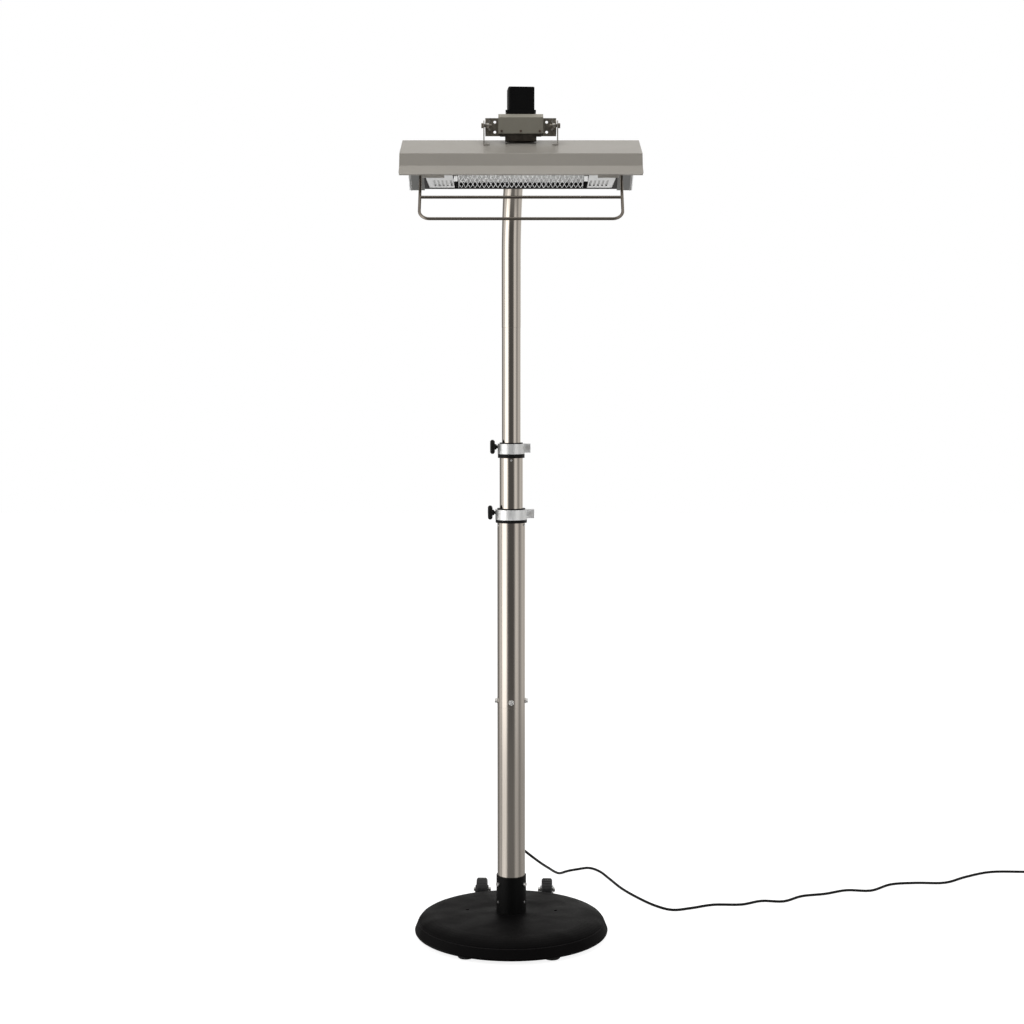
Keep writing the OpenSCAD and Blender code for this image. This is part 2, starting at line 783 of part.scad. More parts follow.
coupler_r = outer_ir - fit_gap;
coupler_turns = [0, 90, 180, 270];
coupler_bolt_in = 3;
washer_h = 1.6;
coupler_head_r = 6.5;
coupler_bolt_z = seam_z + bolt_row_up;
module tube_coupler() {
  color(steel) difference() {
    pipe(coupler_r, coupler_r - coupler_t, seam_z - coupler_down, coupler_down + coupler_up);
    for (t = coupler_turns) radial_rod(t, coupler_bolt_z, outer_ir - 3 * coupler_t, outer_r, m6_r + fit_gap);
  }
}
module coupler_bolts() {
  color(bright) for (t = coupler_turns) {
    radial_rod(t, coupler_bolt_z, coupler_r - coupler_bolt_in, outer_r - coupler_r + coupler_bolt_in, m6_r);
    radial_rod(t, coupler_bolt_z, outer_r, washer_h, coupler_head_r + over);
    radial_rod(t, coupler_bolt_z, outer_r + washer_h, bolt_head_h + over / 2, coupler_head_r, $fn = 6);
  }
}

collar_screw_r = 1.6;
collar_head_r = 3;
collar_head_h = 2.2;
sleeve_t = 4;
module collar_screw_holes(c) {
  for (t = c[5]) radial_rod(t, c[2] - screw_down, own_ir(c) - sleeve_t - over, 2 * sleeve_t + tube_t + 2 * over,
    collar_screw_r + fit_gap);
}

module outer_tube() {
  color(steel) difference() {
    pipe(outer_r, outer_ir, seam_z, outer_tube_len);
    for (t = coupler_turns) radial_rod(t, coupler_bolt_z, outer_ir - over, outer_r, m6_r + fit_gap);
    collar_screw_holes(lower_collar);
  }
}

// A collar's bushing: sleeve in the tube, flange on its end, slit neck and lip that hold the clamp ring
module bushing(c) {
  bore = bore_of(c);
  neck_z = c[2] + c[3];
  neck_h = ring_h + 2 * face_gap;
  color(black) difference() {
    union() {
      pipe(own_ir(c) - fit_gap, bore, c[2] - sleeve_len, sleeve_len + over);
      pipe(ring_or(c) - flange_shy, bore, c[2], c[3]);
      pipe(bore + neck_t, bore, neck_z - over, neck_h + over);
      pipe(bore + neck_t + lip_out, bore, neck_z + neck_h, lip_h);
    }
    translate([bore - over, -slit_w / 2, neck_z]) cube([2 * neck_t + lip_out, slit_w, neck_h + lip_h + over]);
    collar_screw_holes(c);
    radial_rod(knob_turn - 90, knob_z(c), bore - over, 2 * neck_t, stud_r + face_gap);
  }
}
flange_shy = 0.6;

// A clamp ring, split at +X between two ears, with the knob's threaded hole on the other side
module clamp_ring(c) {
  ears_z = ring_z(c) + ring_h - ear_h;
  color(bright) difference() {
    union() {
      pipe(ring_or(c), ring_in(c), ring_z(c), ring_h);
      for (y = [ear_gap / 2, -ear_gap / 2 - ear_t]) translate([ring_or(c) - ear_bite, y, ears_z])
        cube([c[4] + ear_bite, ear_t, ear_h]);
    }
    translate([0, -ear_gap / 2, ring_z(c) - over]) cube([ring_or(c) + c[4], ear_gap, ring_h + 2 * over]);
    translate([clamp_bolt_x(c), 0, ears_z + ear_h / 2]) rotate([90, 0, 0])
      cylinder(r = m6_r + fit_gap, h = 2 * (ear_t + ear_gap + over), center = true);
    radial_rod(knob_turn - 90, knob_z(c), ring_in(c) - over, ring_t + 2 * over, stud_r + fit_gap);
  }
}

// The three small screws of a bushing and the bolt through its clamp ring's ears
module collar_screws(c) {
  grip = ear_t + ear_gap / 2;
  color(zinc) {
    for (t = c[5]) radial_screw(t, c[2] - screw_down, c[0], collar_screw_r, tube_t + sleeve_t / 2,
      collar_head_r, collar_head_h);
    translate([clamp_bolt_x(c), -grip, ring_z(c) + ring_h - ear_h / 2]) rotate([-90, 0, 0]) {
      hex_bolt(m6_r, 2 * grip + nut_h, clamp_head_r, bolt_head_h);
      translate([0, 0, 2 * grip]) cylinder(r = clamp_head_r, h = bolt_head_h, $fn = 6);
    }
  }
}
clamp_head_r = 5.8;

// A clamp knob on its stud, lying along a radius that points to -X and a little to the front
module knob(c) {
  seat = ring_or(c) + stud_bare;
  stud_in = c[1] + 2 * face_gap;
  translate([0, 0, knob_z(c)]) rotate([0, 0, knob_turn - 90]) rotate([90, 0, 0]) {
    color(black) difference() {
      translate([0, 0, seat - knob_hub_h]) rotate_extrude() polygon([
        [0, 0], [knob_hub_r - knob_hub_taper, 0], [knob_hub_r, knob_hub_h], [knob_r - knob_round, knob_hub_h],
        [knob_r, knob_hub_h + knob_round], [knob_r, knob_hub_h + knob_t - knob_round],
        [knob_r - knob_round, knob_hub_h + knob_t], [0, knob_hub_h + knob_t]]);
      for (k = [0:knob_scallops - 1]) rotate([0, 0, 360 * k / knob_scallops])
        translate([knob_r + scallop_r - scallop_bite, 0, seat - over])
        cylinder(r = scallop_r, h = knob_t + 2 * over);
    }
    color(zinc) translate([0, 0, stud_in]) cylinder(r = stud_r, h = seat - knob_hub_h - stud_in + over);
  }
}
knob_hub_taper = 1;

module lower_bushing() { bushing(lower_collar); }
module lower_clamp_ring() { clamp_ring(lower_collar); }
module lower_collar_screws() { collar_screws(lower_collar); }
module lower_knob() { knob(lower_collar); }

// A plastic guide on the foot of a sliding tube: it fills the gap to the tube outside
module guide_bush(tube_r, tube_ir, bore_r, bottom) {
  color(black) rotate_extrude() polygon([
    [tube_ir - bush_lip_in, bottom - bush_lip], [bore_r - slide_gap, bottom - bush_lip],
    [bore_r - slide_gap, bottom + bush_len], [tube_r + fit_gap, bottom + bush_len],
    [tube_r + fit_gap, bottom - fit_gap], [tube_ir - bush_lip_in, bottom - fit_gap]]);
}

module mid_tube() {
  color(steel) difference() {
    pipe(mid_r, mid_ir, mid_bottom, mid_tube_len);
    collar_screw_holes(upper_collar);
  }
}
module mid_guide_bush() { guide_bush(mid_r, mid_ir, outer_ir, mid_bottom); }
module upper_bushing() { bushing(upper_collar); }
module upper_clamp_ring() { clamp_ring(upper_collar); }
module upper_collar_screws() { collar_screws(upper_collar); }
module upper_knob() { knob(upper_collar); }

module upper_tube() { color(steel) pipe(upper_r, upper_ir, upper_bottom, upper_tube_len); }
module upper_guide_bush() { guide_bush(upper_r, upper_ir, mid_ir, upper_bottom); }

// The spigot stays in the upper tube, and the arm turns on its upper half
module arm_spigot() {
  color(steel) {
    pipe(upper_ir - fit_gap, upper_ir - spigot_t, upper_top - spigot_down, spigot_down);
    pipe(arm_r - arm_t - fit_gap, upper_ir - spigot_t, upper_top, spigot_up);
  }
}
arm_t = 1.6;

module ring_2d(ro, ri) {
  difference() {
    circle(r = ro);
    circle(r = ri);
  }
}

module in_arm_plane() { rotate([0, 0, arm_turn]) children(); }

// The bend's own frame: its centre, X along the radius at its foot and Y upwards
module in_bend() { translate([0, -arm_bend_r, bend_z]) rotate([90, 0, 90]) children(); }

module offset_arm() {
  color(steel) in_arm_plane() {
    pipe(arm_r, arm_r - arm_t, upper_top + face_gap, arm_foot - face_gap);
    in_bend() rotate_extrude(angle = arm_bend) translate([arm_bend_r, 0]) ring_2d(arm_r, arm_r - arm_t);
  }
}

// Black block that holds the arm's end, with a flange on top for the terminal box
block_screw_in = 14;
block_screw_y = block_back - block_screw_in;
block_screw_down = 16;
block_screw_z = block_top - block_screw_down;
bar_screw_x = 24;
bar_screw_high = 16;
bar_screw_low = 4;
bar_screw_z = [pivot_z - bar_screw_low, pivot_z + bar_screw_high];
module head_block() {
  color(black) difference() {
    translate([head_x, 0, 0]) {
      along_x(block_w) polygon([
        [block_front, end_z - block_drop], [block_front + block_d - chamfer_d, end_z - block_drop],
        [block_back - heel_d, end_z - block_heel], [block_back, end_z - block_heel],
        [block_back, block_top], [block_front, block_top]]);
      translate([-block_flange_w / 2, block_front, block_top - over])
        cube([block_flange_w, block_d, block_flange_h + over]);
    }
    in_arm_plane() in_bend() rotate_extrude(angle = arm_bend + pocket_past)
      translate([arm_bend_r, 0]) circle(r = arm_r + fit_gap);
    for (s = [-1, 1]) translate([head_x, block_screw_y, block_screw_z]) rotate([0, 90 * s, 0])
      cylinder(r = m6_r + fit_gap, h = block_w);
    for (s = [-1, 1]) for (z = bar_screw_z) translate([head_x + s * bar_screw_x, block_front - over, z])
      rotate([-90, 0, 0]) cylinder(r = m5_r + fit_gap, h = bar_screw_len + over);
  }
}
bar_screw_len = 12;
box_seat = block_top + block_flange_h;

module block_screws() {
  color(zinc) {
    for (s = [-1, 1]) translate([head_x + s * block_w / 2, block_screw_y, block_screw_z])
      rotate([0, 90 * s, 0]) {
        translate([0, 0, -block_screw_reach]) cylinder(r = m6_r, h = block_screw_reach);
        cylinder(r = 2 * m6_r - over, h = screw_head_h);
      }
    for (s = [-1, 1]) for (z = bar_screw_z) translate([head_x + s * bar_screw_x, block_front - bar_t, z])
      rotate([-90, 0, 0]) hex_bolt(m5_r, bar_t + bar_screw_len, 2 * m5_r, screw_head_h);
  }
}
block_screw_reach = 6;

module terminal_box() {
  color(black) translate([head_x, (block_front + block_back) / 2, box_seat]) rotate([0, 0, box_turn])
    difference() {
      hull() {
        linear_extrude(box_h - box_edge) rounded_rect(box_w, box_d, box_r, $fn = 32);
        linear_extrude(box_h) rounded_rect(box_w - 2 * box_edge, box_d - 2 * box_edge, box_r - box_edge, $fn = 32);
      }
      translate([0, 0, -over]) linear_extrude(box_h - box_t + over)
        rounded_rect(box_w - 2 * box_t, box_d - 2 * box_t, box_r - box_t);
    }
}

module at_pivot() { translate([head_x, pivot_y, pivot_z]) children(); }

// Steel plate across the block, its ends folded forward as lugs for the pivot bolts
bar_mid_z = bar_low + bar_h / 2;
lug_top_trim = 4;
module bracket_plate() {
  color(bronze) difference() {
    translate([head_x, 0, 0]) {
      translate([-bar_w / 2, block_front - bar_t, bar_low]) cube([bar_w, bar_t, bar_h]);
      for (s = [-1, 1]) translate([s * (bar_w / 2 - bar_t / 2), 0, 0]) along_x(bar_t) {
        polygon([[block_front, bar_low + lug_top_trim], [pivot_y, pivot_z - pivot_boss_r],
          [pivot_y, pivot_z + pivot_boss_r], [block_front, bar_low + bar_h - lug_top_trim]]);
        translate([pivot_y, pivot_z]) circle(r = pivot_boss_r);
      }
    }
    at_pivot() rotate([0, 90, 0]) cylinder(r = pivot_r + fit_gap, h = 2 * bar_w, center = true);
    for (s = [-1, 1]) for (t = [-1, 1])
      translate([head_x + s * bar_hole_x, block_front + over, bar_mid_z + t * bar_hole_pitch / 2])
        rotate([90, 0, 0]) cylinder(r = bar_hole_r, h = bar_t + 2 * over);
    for (s = [-1, 1]) for (z = bar_screw_z) translate([head_x + s * bar_screw_x, block_front + over, z])
      rotate([90, 0, 0]) cylinder(r = m5_r + fit_gap, h = bar_t + 2 * over);
  }
}

// Folded channel under the cover, with the cable clamp block hanging from its middle
saddle_back = block_front - bar_t;
saddle_front = saddle_back - cover_d + cover_t + face_gap;
saddle_fold_r = bracket_t + skin_gap;
module saddle() {
  color(bronze) difference() {
    translate([head_x, 0, 0]) {
      along_x(saddle_w) polygon(sheet(folded([
        [saddle_back, saddle_low + saddle_lip / 2], [saddle_back, saddle_low],
        [saddle_front, saddle_low], [saddle_front, saddle_low + saddle_lip]],
        [saddle_fold_r, saddle_fold_r]), -bracket_t));
      translate([-saddle_block_w / 2, saddle_front, saddle_low - saddle_block_h])
        cube([saddle_block_w, saddle_back - saddle_front, saddle_block_h + bracket_t / 2]);
    }
    cover_screw_places() rotate([-90, 0, 0]) translate([0, 0, -over])
      cylinder(r = collar_screw_r + fit_gap, h = cover_t + bracket_t + 2 * over);
  }
}

module cover_screw_places() {
  for (k = [-1:1]) translate([head_x + k * cover_screw_x, saddle_back - cover_d, cover_low + cover_screw_up])
    children();
}

module bracket_cover() {
  front = saddle_back - cover_d;
  top = cover_low + cover_h;
  line = folded([[front, cover_low], [front, top - cover_slope_h], [front + cover_slope, top],
    [saddle_back - face_gap, top]], [fold_r, fold_r]);
  color(taupe) difference() {
    translate([head_x, 0, 0]) {
      along_x(cover_w) polygon(sheet(line, -cover_t));
      mirror_x() translate([(cover_w - cover_t) / 2, 0, 0]) along_x(cover_t)
        polygon(concat(line, [[saddle_back - face_gap, cover_low]]));
    }
    cover_screw_places() rotate([-90, 0, 0]) translate([0, 0, -over])
      cylinder(r = collar_screw_r + fit_gap, h = cover_t + 2 * over);
  }
}

module cover_screws() {
  color(zinc) cover_screw_places() rotate([-90, 0, 0]) {
    cylinder(r = collar_screw_r, h = cover_t + bracket_t);
    translate([0, 0, -collar_head_h]) cylinder(r = collar_head_r, h = collar_head_h);
  }
}

// Pivot bolts from outside through ear and lug, and the wing nuts inside
ear_out = ear_x + bar_t;
bolt_in = 17;
pivot_head_r = 6.4;
module pivot_bolts() {
  color(bronze) at_pivot() mirror_x() translate([ear_out + face_gap, 0, 0]) rotate([0, -90, 0])
    hex_bolt(pivot_r, ear_out - bar_w / 2 + bolt_in, pivot_head_r, bolt_head_h);
}

wing_r = 12.5;
wing_t = 2.5;
wing_h = 10;
wing_hub_r = 6.5;
wing_hub_h = 7;
module wing_nut(side) {
  color(zinc) at_pivot() rotate([0, side * 90, 0]) translate([0, 0, bar_w / 2 - bar_t - face_gap - wing_hub_h])
    difference() {
      union() {
        cylinder(r = wing_hub_r, h = wing_hub_h);
        for (s = [0, 180]) rotate([0, 0, s]) translate([0, wing_t / 2, 0]) rotate([90, 0, 0])
          linear_extrude(wing_t) polygon([
            [wing_hub_r - over, wing_hub_h - over], [wing_hub_r - over, 0], [wing_r - wing_t, wing_hub_h - wing_h],
            [wing_r, wing_hub_h - wing_h], [wing_r, 0]]);
      }
      translate([0, 0, -wing_h]) cylinder(r = pivot_r + fit_gap, h = 3 * wing_h);
    }
}
module wing_nut_left() { wing_nut(-1); }
module wing_nut_right() { wing_nut(1); }

// Hood: one bent sheet over the heater, with a hem along its lip and two tabs down to the trough
hem_drop_share = 0.25;
hood_line = [hood_back + [0, -hood_back_drop], hood_back, hood_crease, hood_fold, hood_lip,
  hood_lip + hood_hem * [1, -hem_drop_share]];
hood_slope = atan2(hood_back[1] - hood_crease[1], hood_back[0] - hood_crease[0]);
function on_plane_a(y) = hood_back[1] + (y - hood_back[0]) * tan(hood_slope);
lip_slope = atan2(hood_fold[1] - hood_lip[1], hood_fold[0] - hood_lip[0]);

module hood() {
  color(taupe) at_pivot() {
    difference() {
      along_x(hood_w) polygon(sheet(folded(hood_line, [fold_r, fold_r, fold_r, 0]), hood_t));
      mirror_x() translate([hood_w / 2 - hood_corner_r, hood_lip[0], hood_lip[1]]) rotate([lip_slope, 0, 0])
        translate([0, hood_corner_r, 0]) corner_cutter(hood_corner_r);
    }
    mirror_x() translate([lip_tab_x, 0, 0]) along_x(lip_tab_w) polygon(sheet([
      hood_lip + [hood_hem / 2, hood_t / 2], hood_lip + [hood_hem, -hood_hem * hem_drop_share],
      hood_lip + [hood_hem + 2 * hood_t, -lip_tab_h]], -hood_t));
  }
}

module corner_cutter(r) {
  difference() {
    translate([0, -2 * r, -r]) cube([2 * r, 2 * r, 2 * r]);
    translate([0, 0, -2 * r]) cylinder(r = r, h = 4 * r);
  }
}

// Ears that stand on the hood and turn on the pivot bolts
ear_foot_d = 34;
ear_foot_w = 15;
module hood_ears() {
  y0 = -ear_foot_d / 2 + ear_shift;
  y1 = ear_foot_d / 2 + ear_shift;
  lift = face_gap / cos(hood_slope);
  color(taupe) at_pivot() mirror_x() difference() {
    union() {
      translate([ear_x + bar_t / 2, 0, 0]) along_x(bar_t) {
        polygon([[y0, on_plane_a(y0) + lift], [y1, on_plane_a(y1) + lift], [pivot_boss_r, 0],
          [-pivot_boss_r, 0]]);
        circle(r = pivot_boss_r);
      }
      translate([ear_x + bar_t - ear_foot_w / 2, 0, 0]) along_x(ear_foot_w) polygon([
        [y0, on_plane_a(y0) + lift], [y1, on_plane_a(y1) + lift],
        [y1, on_plane_a(y1) + lift + bar_t], [y0, on_plane_a(y0) + lift + bar_t]]);
    }
    rotate([0, 90, 0]) cylinder(r = pivot_r + fit_gap, h = 2 * bar_w, center = true);
  }
}
ear_shift = 1;

// Trough frame: Y runs along the mouth to the back, Z into the trough
module in_trough() {
  at_pivot() translate([0, mouth_y, mouth_z]) rotate([-mouth_tilt, 0, 0]) children();
}
function trough_point(y, z) = [mouth_y + y * cos(mouth_tilt) + z * sin(mouth_tilt),
  mouth_z - y * sin(mouth_tilt) + z * cos(mouth_tilt)];

module hood_webs() {
  low_front = trough_point(-web_half, trough_depth + face_gap);
  low_back = trough_point(web_half, trough_depth + face_gap);
  under = (hood_t + face_gap) / cos(hood_slope);
  color(graphite) at_pivot() mirror_x() translate([web_x, 0, 0]) along_x(web_t) polygon([
    low_front, low_back, [low_back[0], on_plane_a(low_back[0]) - under],
    [low_front[0], on_plane_a(low_front[0]) - under]]);
}
web_half = 22;

trough_line = [[mouth_lip - mouth_w / 2, 0], [-mouth_w / 2, 0], [-trough_back_w / 2, trough_depth],
  [trough_back_w / 2, trough_depth], [mouth_w / 2, 0], [mouth_w / 2 - mouth_lip, 0]];
module heater_trough() {
  folds = [tight_fold_r, tight_fold_r, tight_fold_r, tight_fold_r];
  color(graphite) in_trough() along_x(trough_w) polygon(sheet(folded(trough_line, folds), -trough_t));
}

cap_outline = [[-mouth_w / 2 - cap_out, -cap_out], [-trough_back_w / 2 - cap_out, trough_depth + cap_out],
  [trough_back_w / 2 + cap_out, trough_depth + cap_out], [mouth_w / 2 + cap_out, -cap_out]];
module end_caps() {
  color(graphite) difference() {
    in_trough() mirror_x() translate([(trough_w + cap_w) / 2 + face_gap / 2, 0, 0])
      along_x(cap_w - face_gap) polygon(cap_outline);
    rail_frame() mirror_x() translate([rail_span / 2, 0, -rail_len])
      cylinder(r = rail_d / 2 + fit_gap, h = rail_len + skin_gap);
  }
}
module end_plates() {
  color(bright) in_trough() mirror_x() translate([(heater_w - end_plate_t) / 2, 0, 0])
    along_x(end_plate_t - face_gap / 2) polygon(cap_outline);
}

function dish(r) = [for (k = [-reflector_steps:2:reflector_steps]) let (u = k / reflector_steps)
  [u * r, reflector_top - (reflector_top - reflector_edge) * u * u]];
module reflector() {
  color(bright) in_trough() along_x(grille_w + 2 * (holder_gap - face_gap))
    polygon(sheet(dish(reflector_r), -reflector_t));
}

module slotted_covers() {
  color(bright) in_trough() mirror_x() translate([0, 0, trough_t + face_gap]) linear_extrude(panel_t)
    difference() {
      polygon([[panel_in - panel_half * tan(slot_lean), panel_half], [panel_in, -panel_half],
        [trough_w / 2 - face_gap, -panel_half], [trough_w / 2 - face_gap, panel_half]]);
      for (k = [0:slot_n - 1]) translate([slot_x + (k - (slot_n - 1) / 2) * slot_pitch, slot_y])
        rotate([0, 0, slot_lean]) square([slot_w, slot_len], center = true);
    }
}

// Quartz lamp between two ceramic holders that stand on the trough's floor
module lamp() {
  color(ceramic) in_trough() translate([0, 0, lamp_z]) rotate([0, 90, 0]) difference() {
    cylinder(r = lamp_d / 2, h = lamp_w, center = true);
    cylinder(r = lamp_d / 2 - lamp_wall, h = lamp_w - 2 * lamp_into, center = true);
  }
}
holder_x = grille_w / 2 + holder_gap + holder_w / 2;
module lamp_holders() {
  color(ceramic) in_trough() difference() {
    mirror_x() translate([holder_x - holder_w / 2, -holder_d / 2, holder_low])
      cube([holder_w, holder_d, trough_depth - trough_t - face_gap - holder_low]);
    translate([0, 0, lamp_z]) rotate([0, 90, 0])
      cylinder(r = lamp_d / 2 + fit_gap, h = lamp_w + 2 * face_gap, center = true);
  }
}

// Grille: a thin sheet of staggered diamonds held behind the trough's lips
grille_border = 3;
grille_columns = floor((grille_w - 2 * grille_border) / mesh_pitch);
grille_rows = floor((2 * (panel_half - grille_border)) / mesh_height);
module diamond() {
  w = (mesh_pitch - mesh_strand) / 2;
  h = (mesh_height - mesh_strand) / 2;
  polygon([[-w, 0], [0, h], [w, 0], [0, -h]]);
}
module mesh_grille() {
  color(bright) in_trough() translate([0, 0, trough_t + face_gap]) linear_extrude(panel_t) difference() {
    square([grille_w - face_gap, 2 * panel_half], center = true);
    for (i = [0:grille_columns - 1]) for (j = [0:grille_rows - 1])
      translate([(i - (grille_columns - 1) / 2) * mesh_pitch, (j - (grille_rows - 1) / 2) * mesh_height])
      diamond();
    for (i = [0:grille_columns - 2]) for (j = [0:grille_rows - 2])
      translate([(i - (grille_columns - 2) / 2) * mesh_pitch, (j - (grille_rows - 2) / 2) * mesh_height])
      diamond();
  }
}

// Guard rail: a bent rod from cap to cap, with a second bar across
module rail_frame() {
  at_pivot() translate([0, rail_start_y, rail_start_z]) rotate([-rail_lean, 0, 0]) children();
}
module guard_rail() {
  r = rail_d / 2;
  arm_len = rail_len - rail_corner_r;
  color(bronze) rail_frame() {
    mirror_x() {
      translate([rail_span / 2, 0, -arm_len]) cylinder(r = r, h = arm_len);
      translate([rail_span / 2 - rail_corner_r, 0, -arm_len]) rotate([90, 0, 0])
        rotate([0, 0, -90]) rotate_extrude(angle = 90) translate([rail_corner_r, 0]) circle(r = r);
    }
    for (bar = [[rail_len, rail_span - 2 * rail_corner_r], [rail_mid, rail_span]])
      translate([0, 0, -bar[0]]) rotate([0, 90, 0]) cylinder(r = r, h = bar[1], center = true);
  }
}

// Supply cord: the free run, the coil beyond the view, its tie and the plug
route = smooth(ROUTE, cord_steps);
tail = smooth([for (p = TAIL) [coil_x + p[0], coil_y - coil_r, p[1]]], cord_steps);
function coil_point(t) =
  let (half = coil_turns * 180, r = coil_r - coil_pitch * (half - abs(t - half)) / 360,
    climb = min(max((t - half + 90) / 180, 0), 1))
  [coil_x + r * sin(t), coil_y - r * cos(t), coil_z + coil_pitch * climb];
coil_line = concat([[coil_x - cord_d, coil_y - coil_r, coil_z]],
  [for (k = [0:coil_turns * coil_rings]) coil_point(360 * k / coil_rings)],
  [[coil_x + cord_d, coil_y - coil_r, coil_z + coil_pitch]]);
coil_gap = min([for (i = [0:len(coil_line) - 1]) for (j = [i + coil_rings / 2:len(coil_line) - 1])
  norm(coil_line[i] - coil_line[j])]) - cord_d;
function run_length(p) = sum([for (i = [1:len(p) - 1])
  norm(p[i] - p[i - 1])], 0);
function sum(v, i) = i < len(v) ? v[i] + sum(v, i + 1) : 0;
echo(str("least gap of the coil to itself: ", coil_gap));
echo(str("length of the whole cord: ", run_length(route) + run_length(coil_line) + run_length(tail)));

module cord() {
  color(black) sweep(route, cord_d / 2, cord_sides);
}
module cord_coil() {
  color(black) sweep(concat(coil_line, [for (i = [1:len(tail) - 1]) tail[i]]), cord_d / 2, coil_sides);
}
module cord_tie() {
  inner = coil_r - coil_pitch * coil_turns / 2 - cord_d / 2 - skin_gap;
  outer = coil_r + cord_d / 2 + skin_gap;
  low = coil_z - cord_d / 2 - face_gap;
  high = coil_z + coil_pitch + cord_d / 2 + face_gap;
  color(graphite) translate([coil_x, coil_y, 0]) along_x(tie_w) difference() {
    translate([inner - tie_t, low - tie_t]) square([outer - inner + 2 * tie_t, high - low + 2 * tie_t]);
    translate([inner, low]) square([outer - inner, high - low]);
  }
}

module at_plug() { translate([plug_x, coil_y - coil_r, plug_r]) children(); }

module plug_body() {
  color(black) intersection() {
    at_plug() rotate([0, 90, 0]) rotate_extrude() polygon([
      [0, 0], [gland_tip_r, 0], [gland_neck_r, plug_relief], [plug_r, plug_relief + plug_r / 2],
      [plug_r + over, plug_relief + plug_len - over], [plug_r, plug_relief + plug_len],
      [0, plug_relief + plug_len]]);
    translate([plug_x - over, 0, plug_r - plug_flat]) cube([2 * plug_x, 2 * coil_y, 2 * plug_flat]);
  }
}
module plug_pins() {
  color(bright) at_plug() translate([plug_relief + plug_len, 0, 0]) {
    for (s = [-1, 1]) translate([0, s * blade_gap / 2 - blade_t / 2, 0]) cube([blade_len, blade_t, blade_w]);
    translate([0, 0, -ground_drop]) rotate([0, 90, 0]) cylinder(r = ground_r, h = ground_len);
  }
}

in_base() base_shell();
in_base() base_ballast();
in_base() base_plate();
in_base() base_feet();
in_base() base_screws();
post_socket();
in_base() socket_flange_bolts();
socket_bolts();
in_base() wheel_brackets();
in_base() bracket_bolts();
in_base() axle_bolts();
in_base() wheel_left();
in_base() wheel_right();
lower_tube();
cord_gland();
tube_coupler();
coupler_bolts();
outer_tube();
lower_bushing();
lower_clamp_ring();
lower_collar_screws();
lower_knob();
mid_tube();
mid_guide_bush();
upper_bushing();
upper_clamp_ring();
upper_collar_screws();
upper_knob();
upper_tube();
upper_guide_bush();
arm_spigot();
offset_arm();
head_block();
block_screws();
terminal_box();
bracket_plate();
saddle();
bracket_cover();
cover_screws();
pivot_bolts();
wing_nut_left();
wing_nut_right();
hood();
hood_ears();
hood_webs();
heater_trough();
end_caps();
end_plates();
reflector();
slotted_covers();
lamp();
lamp_holders();
mesh_grille();
guard_rail();
cord();
cord_coil();
cord_tie();
plug_body();
plug_pins();
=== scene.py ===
# %% [markdown]
# # Infrared patio heater tower
# The solids of the heater come packed as a fixed frame, in metres, with the floor at zero height, the
# pole's axis at x = y = 0 and the heater head facing -Y. This script dresses them: it makes the camera
# and the cord, gives each finish its own procedural material, adds the small pieces that a camera
# notices, and lights the whole like a plain studio.

# %% Load the frame
import math

import bmesh
import bpy
from mathutils import Matrix, Vector


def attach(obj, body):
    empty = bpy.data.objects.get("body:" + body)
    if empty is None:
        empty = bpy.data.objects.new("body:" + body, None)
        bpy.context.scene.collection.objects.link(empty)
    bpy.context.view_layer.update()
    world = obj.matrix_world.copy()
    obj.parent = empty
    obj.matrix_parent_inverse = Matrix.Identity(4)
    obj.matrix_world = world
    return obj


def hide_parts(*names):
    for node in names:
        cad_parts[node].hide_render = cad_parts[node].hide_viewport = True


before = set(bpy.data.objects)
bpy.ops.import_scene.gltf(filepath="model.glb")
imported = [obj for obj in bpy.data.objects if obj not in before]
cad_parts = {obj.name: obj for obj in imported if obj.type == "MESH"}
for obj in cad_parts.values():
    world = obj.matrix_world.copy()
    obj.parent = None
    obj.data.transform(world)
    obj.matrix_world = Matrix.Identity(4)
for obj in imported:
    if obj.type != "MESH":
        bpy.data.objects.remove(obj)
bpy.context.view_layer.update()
MM = 0.001

# %% [markdown]
# ## Camera
# The photograph was taken from far away at about chest height, looking slightly down. With a long lens
# of 63 mm the tower keeps straight, almost parallel sides, and the lamp's mouth is seen from below.

# %% Camera
CAMERA_PLACE = (0.002, -4.884, 1.550)
CAMERA_DOWN = 4.4
LENS_MM = 63.3
SENSOR_MM = 36.0


def make_camera():
    data = bpy.data.cameras.new("photo_camera")
    data.lens = LENS_MM
    data.sensor_width = SENSOR_MM
    camera = bpy.data.objects.new("photo_camera", data)
    bpy.context.collection.objects.link(camera)
    camera.location = CAMERA_PLACE
    camera.rotation_euler = (math.radians(90 - CAMERA_DOWN), 0, 0)
    bpy.context.scene.camera = camera
    return camera


print("camera", make_camera().location[:])
